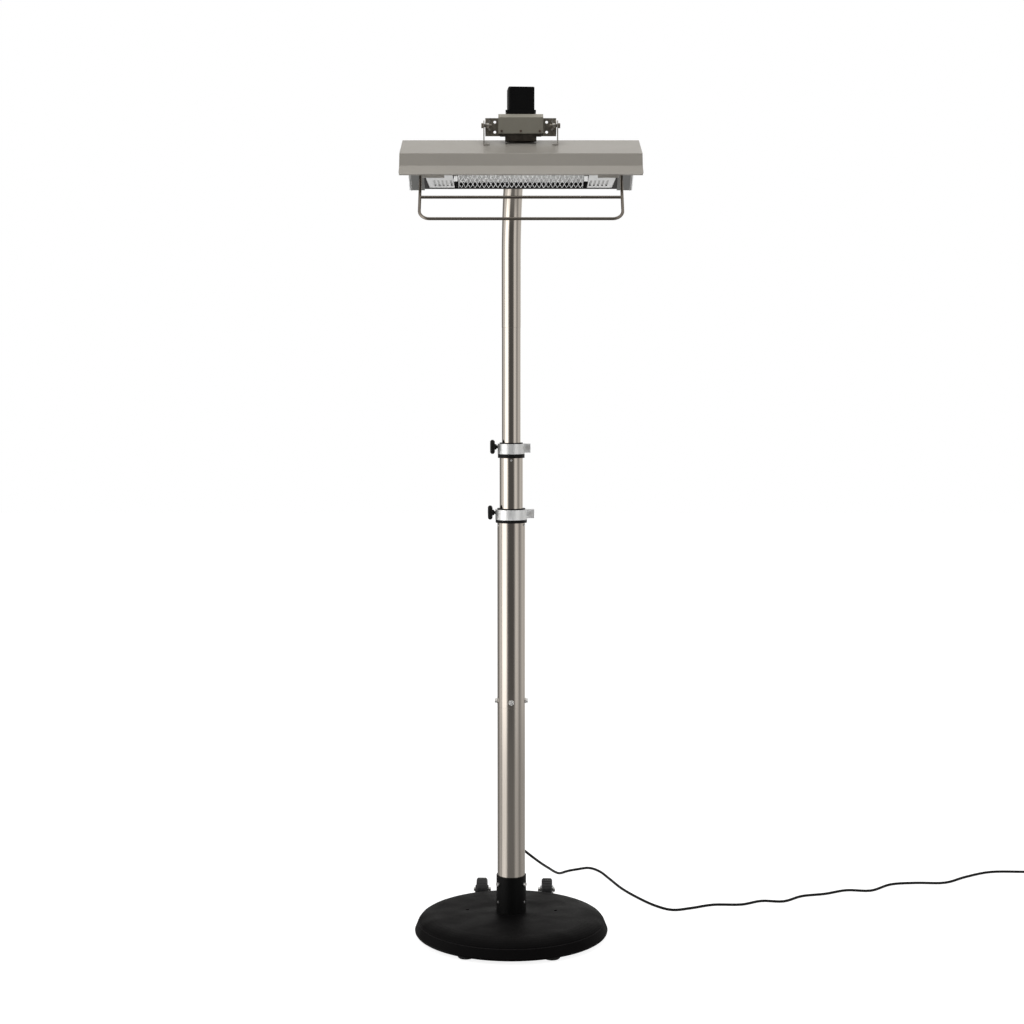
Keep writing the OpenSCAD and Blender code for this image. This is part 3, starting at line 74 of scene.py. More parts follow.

# %% [markdown]
# ## Supply cord
# A real cord is one flexible length, so it is one curve from the strain relief to the plug. It leaves
# the back of the pole, swings down to the floor, wanders to the right in loose waves, and what the
# photograph doesn't show lies in a neat coil. The route's points are listed, and a smooth curve
# through them is worked out by formula; the coil's turns are a spiral that runs in and out again.

# %% Cord values
CORD_D = 7.5
GLAND_TIP = 64.6
CORD_Z = 225.0
FLOOR_Z = 4.0
COIL_X, COIL_Y, COIL_Z = 1740.0, 660.0, 5.4
COIL_R, COIL_PITCH, COIL_TURNS, COIL_STEPS = 50.0, 8.4, 3, 32
PLUG_R, TAIL_END = 13.2, 130.0
LINE_STEPS = 5
ROUTE = [
    (0, GLAND_TIP, CORD_Z), (1, 86, 225), (12, 112, 219), (32, 150, 200), (60, 220, 160),
    (88, 300, 118), (112, 400, 76), (133, 505, 35), (150, 572, 12), (172, 622, FLOOR_Z),
    (206, 645, FLOOR_Z), (244, 660, FLOOR_Z), (276, 618, FLOOR_Z), (302, 535, FLOOR_Z),
    (334, 430, FLOOR_Z), (376, 335, FLOOR_Z), (420, 258, FLOOR_Z), (466, 217, FLOOR_Z),
    (522, 235, FLOOR_Z), (590, 268, FLOOR_Z), (671, 270, FLOOR_Z), (735, 306, FLOOR_Z),
    (800, 302, FLOOR_Z), (862, 355, FLOOR_Z), (934, 378, FLOOR_Z), (1006, 416, FLOOR_Z),
    (1078, 412, FLOOR_Z), (1152, 478, FLOOR_Z), (1232, 494, FLOOR_Z), (1320, 496, FLOOR_Z),
    (1400, 560, FLOOR_Z), (1490, 614, FLOOR_Z), (1590, 616, FLOOR_Z), (1660, 612, FLOOR_Z),
    (1700, 610, 5), (COIL_X - CORD_D, COIL_Y - COIL_R, COIL_Z),
]
TAIL = [
    (CORD_D, COIL_Z + COIL_PITCH), (26, 12.6), (44, 8.6), (62, 4.8), (82, 4.2), (100, 7),
    (116, 11.4), (TAIL_END, PLUG_R),
]
print("route points", len(ROUTE), "tail points", len(TAIL))


# %% Smooth the route, wind the coil and measure the whole
def smooth(points, steps):
    """A curve through all the points, with a few in-between points on each stretch."""
    p = [Vector(q) for q in points]
    out = []
    for i in range(len(p) - 1):
        a, b, c, d = p[max(i - 1, 0)], p[i], p[i + 1], p[min(i + 2, len(p) - 1)]
        for j in range(steps):
            t = j / steps
            out.append((2 * b + (c - a) * t + (2 * a - 5 * b + 4 * c - d) * t * t
                        + (3 * b - a - 3 * c + d) * t ** 3) / 2)
    return out + [p[-1]]


def coil_point(turn):
    """A point of the coil, which spirals in for half its turns, climbs a layer and spirals out."""
    half = COIL_TURNS * 180
    radius = COIL_R - COIL_PITCH * (half - abs(turn - half)) / 360
    climb = min(max((turn - half + 90) / 180, 0), 1)
    a = math.radians(turn)
    return Vector((COIL_X + radius * math.sin(a), COIL_Y - radius * math.cos(a), COIL_Z + COIL_PITCH * climb))


route_line = smooth(ROUTE, LINE_STEPS)
coil_line = [coil_point(360 * k / COIL_STEPS) for k in range(COIL_TURNS * COIL_STEPS + 1)]
tail_line = smooth([(COIL_X + x, COIL_Y - COIL_R, z) for x, z in TAIL], LINE_STEPS)
cord_line = [Vector((p.x, p.y, max(p.z, CORD_D / 2))) * MM for p in route_line + coil_line + tail_line]


# %% The cord as one bevelled curve
def curve_piece(name, lines, radius, sides=6):
    """A round wire or cord along one or more lines of points, in metres.

    Its radius is held by the points, because Blender counts a point's radius in the piece's box.
    """
    data = bpy.data.curves.new(name, "CURVE")
    data.dimensions = "3D"
    data.bevel_depth = 1.0
    data.bevel_resolution = sides
    data.use_fill_caps = True
    for line in lines:
        spline = data.splines.new("POLY")
        spline.points.add(len(line) - 1)
        for point, place in zip(spline.points, line):
            point.co = (*place, 1)
            point.radius = radius
    piece = bpy.data.objects.new(name, data)
    bpy.context.collection.objects.link(piece)
    return piece


supply_cord = curve_piece("supply_cord", [cord_line], CORD_D / 2 * MM)
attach(supply_cord, "base")
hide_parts("cord", "cord_coil")
print("cord drawn with", len(cord_line), "points")

# %% [markdown]
# ## Shared surface effects
# No real finish is one flat colour. Five effects come back on most of them, so each is a node group
# with its own knobs: long fine strokes for brushed steel, a fine pimple texture for powder coat and
# moulded plastic, soft large blotches for handling and uneven wear, a mask of the edges, where coatings
# thin out and where a few finishes get a painted highlight, and slow waves for a pressed sheet. The groups
# give values or normals, and the material that uses them does the shading.

# %% Helpers that build node groups and materials
def new_group(name, inputs, outputs):
    tree = bpy.data.node_groups.new(name, "ShaderNodeTree")
    for label, kind, default in inputs:
        socket = tree.interface.new_socket(label, in_out="INPUT", socket_type="NodeSocket" + kind)
        if default is not None:
            socket.default_value = default
    for label, kind in outputs:
        tree.interface.new_socket(label, in_out="OUTPUT", socket_type="NodeSocket" + kind)
    return tree, tree.nodes.new("NodeGroupInput"), tree.nodes.new("NodeGroupOutput")


def add(tree, kind, **settings):
    """A node with its plain properties and socket values set by name."""
    node = tree.nodes.new("ShaderNode" + kind)
    for key, value in settings.items():
        if hasattr(node, key):
            setattr(node, key, value)
        else:
            node.inputs[key.replace("_", " ")].default_value = value
    return node


def math_node(tree, operation, a, b=None, clamp=False):
    node = add(tree, "Math", operation=operation, use_clamp=clamp)
    for socket, value in zip(node.inputs, (a, b)):
        if value is None:
            continue
        if isinstance(value, (int, float)):
            socket.default_value = value
        else:
            tree.links.new(value, socket)
    return node.outputs[0]


EFFECTS = {}
print("helpers ready")


# %% Brushed strokes
def build_brushed():
    tree, given, out = new_group(
        "brushed_strokes",
        [("Density", "Float", 400.0), ("Stretch", "Vector", (1.0, 1.0, 0.02))], [("Strokes", "Float")])
    place = add(tree, "TexCoord")
    stretch = add(tree, "VectorMath", operation="MULTIPLY")
    tree.links.new(place.outputs["Object"], stretch.inputs[0])
    tree.links.new(given.outputs["Stretch"], stretch.inputs[1])
    noise = add(tree, "TexNoise", Detail=4.0, Roughness=0.6)
    tree.links.new(stretch.outputs[0], noise.inputs["Vector"])
    tree.links.new(given.outputs["Density"], noise.inputs["Scale"])
    tree.links.new(noise.outputs["Fac"], out.inputs["Strokes"])
    return tree


EFFECTS["brushed_strokes"] = build_brushed()
print("effect", EFFECTS["brushed_strokes"].name)


# %% Fine pimples
PIMPLE_CELLS = 0.6


def build_pimples():
    tree, given, out = new_group("fine_pimples", [("Density", "Float", 900.0)], [("Height", "Float")])
    place = add(tree, "TexCoord")
    noise = add(tree, "TexNoise", Detail=3.0, Roughness=0.55)
    cells = add(tree, "TexVoronoi", feature="SMOOTH_F1")
    for texture in (noise, cells):
        tree.links.new(place.outputs["Object"], texture.inputs["Vector"])
        tree.links.new(given.outputs["Density"], texture.inputs["Scale"])
    share = math_node(tree, "MULTIPLY", cells.outputs["Distance"], PIMPLE_CELLS)
    tree.links.new(math_node(tree, "ADD", noise.outputs["Fac"], share), out.inputs["Height"])
    return tree


EFFECTS["fine_pimples"] = build_pimples()
print("effect", EFFECTS["fine_pimples"].name)


# %% Soft blotches
def build_blotches():
    tree, given, out = new_group(
        "soft_blotches", [("Size", "Float", 12.0), ("Seed", "Vector", (0.0, 0.0, 0.0))], [("Mask", "Float")])
    place = add(tree, "TexCoord")
    shift = add(tree, "VectorMath", operation="ADD")
    tree.links.new(place.outputs["Object"], shift.inputs[0])
    tree.links.new(given.outputs["Seed"], shift.inputs[1])
    noise = add(tree, "TexNoise", Detail=6.0, Roughness=0.62, Distortion=0.4)
    tree.links.new(shift.outputs[0], noise.inputs["Vector"])
    tree.links.new(given.outputs["Size"], noise.inputs["Scale"])
    spread = add(tree, "MapRange", From_Min=0.3, From_Max=0.7)
    tree.links.new(noise.outputs["Fac"], spread.inputs["Value"])
    tree.links.new(spread.outputs[0], out.inputs["Mask"])
    return tree


EFFECTS["soft_blotches"] = build_blotches()
print("effect", EFFECTS["soft_blotches"].name)

# %% Edge mask
EDGE_SHARPNESS = 5.0


def build_edges():
    """How far a rounded-off edge would turn the surface, and the rounded normal itself."""
    tree, given, out = new_group(
        "edge_mask", [("Width", "Float", 0.001)], [("Edge", "Float"), ("Normal", "Vector")])
    soft = add(tree, "Bevel", samples=4)
    flat = add(tree, "NewGeometry")
    tree.links.new(given.outputs["Width"], soft.inputs["Radius"])
    likeness = add(tree, "VectorMath", operation="DOT_PRODUCT")
    tree.links.new(soft.outputs["Normal"], likeness.inputs[0])
    tree.links.new(flat.outputs["Normal"], likeness.inputs[1])
    lost = math_node(tree, "SUBTRACT", 1.0, likeness.outputs["Value"])
    tree.links.new(math_node(tree, "MULTIPLY", lost, EDGE_SHARPNESS, clamp=True), out.inputs["Edge"])
    tree.links.new(soft.outputs["Normal"], out.inputs["Normal"])
    return tree


EFFECTS["edge_mask"] = build_edges()
print("effect", EFFECTS["edge_mask"].name)


# %% Slow waves
def build_waves():
    """Slow shallow dents, as in a spun or pressed sheet."""
    tree, given, out = new_group("slow_waves", [("Size", "Float", 6.0)], [("Height", "Float")])
    place = add(tree, "TexCoord")
    noise = add(tree, "TexNoise", Detail=1.5, Roughness=0.4, Distortion=0.2)
    tree.links.new(place.outputs["Object"], noise.inputs["Vector"])
    tree.links.new(given.outputs["Size"], noise.inputs["Scale"])
    tree.links.new(noise.outputs["Fac"], out.inputs["Height"])
    return tree


EFFECTS["slow_waves"] = build_waves()
print("effect", EFFECTS["slow_waves"].name)

# %% [markdown]
# ## One builder for all finishes
# Paint, plastic and metal differ in their values, not in how they are put together, so one function
# wires them all: blotches or strokes vary the colour and the roughness, edges get a lighter colour,
# as wear and, on the base and the end caps, as a painted highlight, and the relief bends the surface's
# normal. Every finish then calls it with its own numbers.


# %% Small steps of a finish
def effect(tree, name, **values):
    """Places a shared effect in a material, with this material's own values."""
    node = tree.nodes.new("ShaderNodeGroup")
    node.node_tree = EFFECTS[name]
    for key, value in values.items():
        node.inputs[key].default_value = value
    return node


def ramp_mix(tree, mask, dark, light):
    """A colour that goes from dark to light with the mask."""
    mix = add(tree, "Mix", data_type="RGBA")
    tree.links.new(mask, mix.inputs["Factor"])
    mix.inputs["A"].default_value = (*dark, 1)
    mix.inputs["B"].default_value = (*light, 1)
    return mix.outputs["Result"]


def spread_value(tree, mask, low, high):
    node = add(tree, "MapRange", To_Min=low, To_Max=high)
    tree.links.new(mask, node.inputs["Value"])
    return node.outputs[0]


def bumped(tree, height, lift, normal):
    bump = add(tree, "Bump", Strength=1.0, Distance=lift)
    tree.links.new(height, bump.inputs["Height"])
    tree.links.new(normal, bump.inputs["Normal"])
    return bump.outputs["Normal"]


def tint(colour, factor):
    return tuple(min(c * factor, 1.0) for c in colour)


print("steps ready")

# %% The builder
STROKE_SPREAD = (-0.4, 1.4)
SEED_STEP = Vector((0.37, 0.11, 0.0))


def finish(name, colour, roughness, metal=0.0, contrast=0.08, blotch=9.0, rough_spread=0.06, pimples=0.0,
           pimple_height=0.0, strokes=None, stroke_height=0.0, waves=None, edge_width=0.0006, edge_light=0.25,
           edge_gain=1.9, **sockets):
    """A Principled finish: blotchy colour and roughness, a fine relief, and lighter edges, which are wear and,
    where edge_gain is high, a painted highlight.

    The blotches are shifted by the length of the finish's name, so that two finishes differ.
    """
    material = bpy.data.materials.new(name)
    material.use_nodes = True
    tree = material.node_tree
    shader = tree.nodes["Principled BSDF"]
    blotches = effect(tree, "soft_blotches", Size=blotch, Seed=SEED_STEP * len(name))
    mask = blotches.outputs["Mask"]
    height = None
    if strokes:
        lines = effect(tree, "brushed_strokes", Density=strokes[0], Stretch=strokes[1])
        mask = spread_value(tree, lines.outputs["Strokes"], *STROKE_SPREAD)
        height = lines.outputs["Strokes"]
        lift = stroke_height
    elif pimples:
        relief = effect(tree, "fine_pimples", Density=pimples)
        height = relief.outputs["Height"]
        lift = pimple_height
    edges = effect(tree, "edge_mask", Width=edge_width)
    base = ramp_mix(tree, mask, tint(colour, 1 - contrast), tint(colour, 1 + contrast))
    # Edges mix to a lighter colour: wear, and on some finishes a painted highlight.
    wear_and_highlight = add(tree, "Mix", data_type="RGBA", blend_type="MIX")
    tree.links.new(math_node(tree, "MULTIPLY", edges.outputs["Edge"], edge_light), wear_and_highlight.inputs["Factor"])
    tree.links.new(base, wear_and_highlight.inputs["A"])
    wear_and_highlight.inputs["B"].default_value = (*tint(colour, edge_gain), 1)
    tree.links.new(wear_and_highlight.outputs["Result"], shader.inputs["Base Color"])
    rough = spread_value(tree, blotches.outputs["Mask"], roughness - rough_spread, roughness + rough_spread)
    tree.links.new(rough, shader.inputs["Roughness"])
    normal = edges.outputs["Normal"]
    if waves:
        dents = effect(tree, "slow_waves", Size=waves[0])
        normal = bumped(tree, dents.outputs["Height"], waves[1], normal)
    if height is not None:
        normal = bumped(tree, height, lift, normal)
    tree.links.new(normal, shader.inputs["Normal"])
    shader.inputs["Metallic"].default_value = metal
    for key, value in sockets.items():
        shader.inputs[key.replace("_", " ")].default_value = value
    return material


def dress(material, *names):
    """Gives CAD nodes or new pieces this one material."""
    for item in names:
        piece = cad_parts.get(item) if isinstance(item, str) else item
        piece.data.materials.clear()
        piece.data.materials.append(material)


print("finish builder ready")

# %% [markdown]
# ## Finishes of the stand
# The base is a steel shell under a matt, faintly pebbled black paint. The socket and brackets are black
# powder coat, the feet and cord are rubber. The pole is stainless steel with a warm tint: its two lower
# tubes are brushed along their length, and the sliding tubes and the arm are polished finer. What makes
# steel read as steel is its sharp light and dark reflections, so its roughness stays low.

# %% Base, socket, feet and wheels
# The base's strongly lightened edges are a painted highlight along its rim.
dress(finish("base_paint_finish", (0.0036, 0.0033, 0.0034), 0.56, contrast=0.25, blotch=7.0, pimples=520.0,
             pimple_height=0.0003, waves=(8.0, 0.016), edge_width=0.002, edge_light=1.0, edge_gain=9.0,
             Specular_IOR_Level=0.05), "base_shell")
dress(finish("powder_coat_finish", (0.003, 0.003, 0.003), 0.5, contrast=0.15, pimples=900.0,
             pimple_height=0.00012, Specular_IOR_Level=0.14), "base_plate", "post_socket", "head_block")
dress(finish("wheel_bracket_finish", (0.02, 0.02, 0.02), 0.5, contrast=0.2, pimples=900.0,
             pimple_height=0.00012, Specular_IOR_Level=0.3), "wheel_brackets")
dress(finish("concrete_finish", (0.36, 0.34, 0.31), 0.9, contrast=0.3, blotch=40.0, pimples=300.0,
             pimple_height=0.0008), "base_ballast")
dress(finish("rubber_finish", (0.012, 0.012, 0.012), 0.7, contrast=0.2, pimples=700.0, pimple_height=0.0002),
      "base_feet")
dress(finish("wheel_plastic_finish", (0.021, 0.021, 0.022), 0.42, contrast=0.18, pimples=600.0,
             pimple_height=0.00015, edge_light=0.3), "wheel_left", "wheel_right")
dress(finish("cord_rubber_finish", (0.006, 0.006, 0.006), 0.6, contrast=0.25, blotch=60.0, pimples=1500.0,
             pimple_height=0.00005, Specular_IOR_Level=0.2), supply_cord, "plug_body", "cord_gland")
print("stand finishes done")

# %% Steel tubes and bright fasteners
STEEL = (0.615, 0.565, 0.51)
dress(finish("brushed_steel_finish", STEEL, 0.17, metal=1.0, contrast=0.07, rough_spread=0.03, blotch=5.0,
             strokes=(700.0, (1.0, 1.0, 0.012)), stroke_height=0.00002, edge_light=0.1),
      "lower_tube", "outer_tube", "tube_coupler")
dress(finish("polished_steel_finish", tint(STEEL, 1.06), 0.12, metal=1.0, contrast=0.05, rough_spread=0.03,
             blotch=5.0, strokes=(900.0, (1.0, 1.0, 0.012)), stroke_height=0.000012, edge_light=0.1),
      "mid_tube", "upper_tube", "arm_spigot", "offset_arm")
dress(finish("bright_bolt_finish", (0.82, 0.81, 0.79), 0.3, metal=0.8, edge_light=0.3),
      "socket_bolts", "axle_bolts", "coupler_bolts", "lower_collar_screws", "upper_collar_screws")
dress(finish("zinc_finish", (0.55, 0.53, 0.49), 0.32, metal=1.0, contrast=0.15, blotch=80.0),
      "base_screws", "socket_flange_bolts", "bracket_bolts", "block_screws", "wing_nut_left", "wing_nut_right")
dress(finish("cover_screw_finish", (0.16, 0.115, 0.09), 0.45, metal=0.6, contrast=0.15, blotch=80.0),
      "cover_screws")
dress(finish("brass_finish", (0.66, 0.5, 0.22), 0.25, metal=1.0), "plug_pins")
print("metal finishes done")

# %% [markdown]
# ## Finishes of the collars, bracket and head
# The clamp rings are cast aluminium with a satin skin and the knobs are moulded black plastic. The hood
# and its cover wear a satin grey-beige metallic paint, which shows each bend of the sheet as a change of
# tone and mirrors the bracket softly. The trough behind it is darker, and its lining, grille and slotted
# covers are bright aluminium.

# %% Collar finishes
dress(finish("collar_plastic_finish", (0.004, 0.004, 0.004), 0.45, contrast=0.15, pimples=1200.0,
             pimple_height=0.0001, Specular_IOR_Level=0.15),
      "lower_bushing", "upper_bushing", "mid_guide_bush", "upper_guide_bush")
dress(finish("clamp_aluminium_finish", (0.83, 0.835, 0.83), 0.36, metal=0.7, contrast=0.05, blotch=60.0,
             pimples=1400.0, pimple_height=0.00006, edge_light=0.3), "lower_clamp_ring", "upper_clamp_ring")
dress(finish("knob_plastic_finish", (0.004, 0.004, 0.004), 0.42, contrast=0.15, pimples=900.0,
             pimple_height=0.0001, Specular_IOR_Level=0.15), "lower_knob", "upper_knob")
print("collar finishes done")

# %% Bracket and head finishes
TAUPE = (0.29, 0.272, 0.243)
dress(finish("box_plastic_finish", (0.003, 0.003, 0.003), 0.5, contrast=0.15, pimples=900.0,
             pimple_height=0.0001, Specular_IOR_Level=0.12), "terminal_box")
dress(finish("bracket_steel_finish", (0.22, 0.2, 0.165), 0.42, metal=0.6, contrast=0.3, blotch=90.0),
      "bracket_plate", "pivot_bolts")
dress(finish("saddle_steel_finish", (0.045, 0.038, 0.03), 0.42, metal=0.6, contrast=0.3, blotch=90.0), "saddle")
dress(finish("rail_steel_finish", (0.25, 0.222, 0.192), 0.24, metal=1.0, contrast=0.1, blotch=50.0),
      "guard_rail")
dress(finish("hood_paint_finish", TAUPE, 0.34, metal=0.3, contrast=0.03, blotch=6.0, pimples=1500.0,
             pimple_height=0.00003, edge_light=0.35), "hood", "hood_ears")
dress(finish("cover_paint_finish", (0.272, 0.256, 0.212), 0.36, metal=0.3, contrast=0.04, blotch=9.0,
             pimples=1500.0, pimple_height=0.00003, edge_light=0.35), "bracket_cover")
dress(finish("trough_paint_finish", (0.031, 0.029, 0.029), 0.4, contrast=0.1, pimples=1200.0,
             pimple_height=0.00006), "hood_webs", "heater_trough")
# The end caps' lighter edges are a painted highlight along their rims.
dress(finish("end_cap_finish", (0.19, 0.19, 0.184), 0.35, metal=0.3, contrast=0.1, pimples=1200.0,
             pimple_height=0.00006, edge_width=0.0012, edge_light=0.9), "end_caps")
dress(finish("bright_sheet_finish", (0.86, 0.86, 0.855), 0.34, metal=0.35, contrast=0.05, blotch=40.0),
      "end_plates", "slotted_covers")
dress(finish("ceramic_finish", (0.92, 0.92, 0.91), 0.5, contrast=0.04), "lamp_holders")
dress(finish("quartz_finish", (0.96, 0.95, 0.93), 0.05, contrast=0.02, rough_spread=0.02,
             Transmission_Weight=1.0, IOR=1.46), "lamp")
print("head finishes done")

# %% [markdown]
# ## The heater's inside
# Behind the hood's lip sit the quartz lamp, its bright reflector and a guard of round wires bent to
# zigzags that meet tip to tip. They are all placed in the trough's own frame, which is tilted about the
# long side: its first axis runs along the lamp, the second across the mouth towards the low edge, and
# the third into the trough.

# %% The trough's frame
PIVOT = Vector((24.066, -291.842, 2171.786))
MOUTH = Vector((0, -67, -141))
MOUTH_TILT = 29.6
TROUGH = Matrix.Translation((PIVOT + MOUTH) * MM) @ Matrix.Rotation(math.radians(-MOUTH_TILT), 4, "X")


def trough_place(x, y, z):
    """A place in the trough's frame, in millimetres, as a place in the scene, in metres."""
    return TROUGH @ Vector((x * MM, y * MM, z * MM))


print("trough frame at", [round(v, 3) for v in TROUGH.translation])

# %% Wire guard
GUARD_W, GUARD_H, GUARD_DEPTH = 311.0, 79.0, 2.45
GUARD_WIRE = 1.5
GUARD_TIPS, GUARD_ROWS = 27, 5
half_w, half_h = (GUARD_W - GUARD_WIRE) / 2, (GUARD_H - GUARD_WIRE) / 2
tip_pitch, row_height = 2 * half_w / GUARD_TIPS, 2 * half_h / GUARD_ROWS


def zigzag(column, side):
    """One wire from the mouth's low edge to its high edge, swaying half a pitch to one side."""
    x = (column + 0.5 - GUARD_TIPS / 2) * tip_pitch
    return [trough_place(x + side * (k % 2) * tip_pitch / 2, half_h - k * row_height, GUARD_DEPTH)
            for k in range(GUARD_ROWS + 1)]


corners = [(-half_w, half_h), (-half_w, -half_h), (half_w, -half_h), (half_w, half_h)]
guard_lines = [zigzag(c, side) for c in range(GUARD_TIPS) for side in (-1, 1)]
guard_lines.append([trough_place(x, y, GUARD_DEPTH) for x, y in corners])
wire_guard = curve_piece("wire_guard", guard_lines, GUARD_WIRE / 2 * MM, sides=2)
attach(wire_guard, "head")
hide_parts("mesh_grille")
dress(finish("guard_wire_finish", (0.94, 0.94, 0.93), 0.32, metal=0.08, contrast=0.08, blotch=60.0,
             edge_width=0.0002), wire_guard)
print("guard wires", len(guard_lines))

# %% Heating coil inside the quartz lamp
LAMP_DEPTH, HEATER_R, HEATER_WIRE, HEATER_TURNS, HEATER_LEN = 26.0, 2.6, 0.55, 78, 296.0
TURN_STEPS = 12
helix = []
for k in range(HEATER_TURNS * TURN_STEPS + 1):
    a = math.radians(360 / TURN_STEPS * k)
    x = HEATER_LEN * (k / (HEATER_TURNS * TURN_STEPS) - 0.5)
    helix.append(trough_place(x, HEATER_R * math.cos(a), LAMP_DEPTH + HEATER_R * math.sin(a)))
heating_coil = curve_piece("heating_coil", [helix], HEATER_WIRE / 2 * MM, sides=1)
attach(heating_coil, "head")
dress(finish("heating_wire_finish", (0.2, 0.18, 0.165), 0.4, metal=1.0, contrast=0.2, blotch=90.0,
             edge_width=0.0001), heating_coil)
print("heating coil points", len(helix))

# %% Reflector, bright, with painted shade in the strip beside the low lip
DARK_DEPTH, DARK_FADE = 15.0, 2.0
# The strip's near-black colour is painted shade: the trough's low corner lies in shadow.
PAINTED_SHADE_COLOUR = (0.02, 0.018, 0.018)


def reflector_finish():
    """The lining is bright rolled aluminium, and a strip along its open edge is darkened as painted shade."""
    material = finish("reflector_finish", (0.94, 0.94, 0.93), 0.36, metal=0.08, contrast=0.06, blotch=40.0)
    tree = material.node_tree
    shader = tree.nodes["Principled BSDF"]
    place = add(tree, "TexCoord")
    depth = add(tree, "VectorMath", operation="DOT_PRODUCT")
    inward = TROUGH.to_3x3() @ Vector((0, 0, 1))
    depth.inputs[1].default_value = inward
    tree.links.new(place.outputs["Object"], depth.inputs[0])
    start = TROUGH.translation.dot(inward)
    mask = add(tree, "MapRange", From_Min=start + DARK_DEPTH * MM,
               From_Max=start + (DARK_DEPTH + DARK_FADE) * MM)
    tree.links.new(depth.outputs["Value"], mask.inputs["Value"])
    mix = add(tree, "Mix", data_type="RGBA")
    tree.links.new(mask.outputs[0], mix.inputs["Factor"])
    mix.inputs["A"].default_value = (*PAINTED_SHADE_COLOUR, 1)
    tree.links.new(shader.inputs["Base Color"].links[0].from_socket, mix.inputs["B"])
    tree.links.new(mix.outputs["Result"], shader.inputs["Base Color"])
    return material


dress(reflector_finish(), "reflector")
print("reflector finished")

# %% Rolled beads of the end caps
CAP_LINE = [(-44.2, -1.7), (-31.7, 59.7), (31.7, 59.7), (44.2, -1.7)]
BEAD_X, BEAD_R = 273.2, 1.0
bead_lines = [[trough_place(side * BEAD_X, y, z) for y, z in CAP_LINE + CAP_LINE[:1]] for side in (-1, 1)]
cap_beads = curve_piece("cap_beads", bead_lines, BEAD_R * MM, sides=2)
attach(cap_beads, "head")
dress(finish("cap_bead_finish", (0.62, 0.62, 0.61), 0.3, metal=0.4, contrast=0.1, blotch=60.0), cap_beads)
print("beads", len(bead_lines))

# %% Dark sheets of painted shade at the trough's ends, and the light sheet behind the slots
# A dark flat sheet at each end of the mouth is painted shade: it stands for the end plate lying in shadow.
SHADE_WEDGE = [(240.0, -34.0), (240.0, 37.2), (227.5, 37.2), (234.0, 6.0)]
SHADE_WEDGE_DEPTH, SHADE_WEDGE_T = 0.1, 1.2
LINING = [(173, -32.0), (231, -32.0), (231, 34.0), (173, 34.0)]
LINING_DEPTH, LINING_T = 5.0, 0.8


def new_piece(name, mesh):
    """Turns a finished bmesh into a named piece of the scene."""
    data = bpy.data.meshes.new(name)
    mesh.to_mesh(data)
    mesh.free()
    piece = bpy.data.objects.new(name, data)
    bpy.context.collection.objects.link(piece)
    return piece


def sheet_pair(name, outline, low, thickness):
    """A flat sheet in the trough's frame and its mirror image, from an outline of x and y."""
    mesh = bmesh.new()
    count = len(outline)
    for side in (-1, 1):
        rows = [[mesh.verts.new(trough_place(side * x, y, z)) for x, y in outline]
                for z in (low, low + thickness)]
        mesh.faces.new(rows[0])
        mesh.faces.new(rows[1][::-1])
        for k in range(count):
            n = (k + 1) % count
            mesh.faces.new((rows[0][k], rows[1][k], rows[1][n], rows[0][n]))
    bmesh.ops.recalc_face_normals(mesh, faces=mesh.faces)
    return new_piece(name, mesh)


# The sheets take the trough's dark paint as painted shade.
shade_wedges = sheet_pair("cap_shade_wedges", SHADE_WEDGE, SHADE_WEDGE_DEPTH, SHADE_WEDGE_T)
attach(shade_wedges, "head")
dress(bpy.data.materials["trough_paint_finish"], shade_wedges)
lining = sheet_pair("slot_lining", LINING, LINING_DEPTH, LINING_T)
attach(lining, "head")
dress(finish("slot_lining_finish", (0.6, 0.6, 0.59), 0.45, metal=0.2, contrast=0.1, blotch=50.0), lining)
print("stays and lining done")

# %% [markdown]
# ## Small parts: recesses, ribs and the coil's strap
# Pan-head screws have a cross recess, so each screw in the cover gets a small dark cross on its head, a
# painted shade that stands for the recess. The cord's strain relief is ribbed, as flexible ones are, and
# the coil is held by a soft strap with a loose end instead of the plain solid.

# %% Find the screws of a node
MERGE_WITHIN = 0.00002


def islands(name):
    """The separate solids of a node, each as a list of its corner points."""
    mesh = bmesh.new()
    mesh.from_mesh(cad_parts[name].data)
    bmesh.ops.remove_doubles(mesh, verts=mesh.verts, dist=MERGE_WITHIN)
    left, found = set(mesh.verts), []
    while left:
        stack, island = [left.pop()], []
        while stack:
            vert = stack.pop()
            island.append(vert.co.copy())
            for edge in vert.link_edges:
                other = edge.other_vert(vert)
                if other in left:
                    left.remove(other)
                    stack.append(other)
        found.append(island)
    mesh.free()
    return found


print("screws", len(islands("cover_screws")))

# %% Cross recesses in the cover's screws, as crosses of painted shade
CROSS_LEN, CROSS_W, CROSS_T = 3.4, 0.816, 0.2
RIM_DEPTH = 0.4
FRONT = Vector((0, -1, 0))


def add_slab(mesh, at, along, across, out):
    """A thin slab whose middle lies at a point, with its sides along three given directions."""
    sides = (along * CROSS_LEN * MM, across * CROSS_W * MM, out * CROSS_T * MM)
    turn = Matrix(sides).transposed().to_4x4()
    bmesh.ops.create_cube(mesh, size=1.0, matrix=Matrix.Translation(at) @ turn)


def cross_recess_shades(name, node):
    """A dark cross of painted shade on the front of each screw's head, where its recess lies."""
    mesh = bmesh.new()
    for island in islands(node):
        reach = max(p.dot(FRONT) for p in island)
        rim = [p for p in island if p.dot(FRONT) > reach - RIM_DEPTH * MM]
        at = sum(rim, Vector()) / len(rim)
        side = FRONT.cross(Vector((0, 0, 1))).normalized()
        up = side.cross(FRONT).normalized()
        one, other = (side + up).normalized(), (side - up).normalized()
        add_slab(mesh, at, one, other, FRONT)
        add_slab(mesh, at, other, one, FRONT)
    return new_piece(name, mesh)


recess_shades = cross_recess_shades("cover_screw_recess_shades", "cover_screws")
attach(recess_shades, "arm")
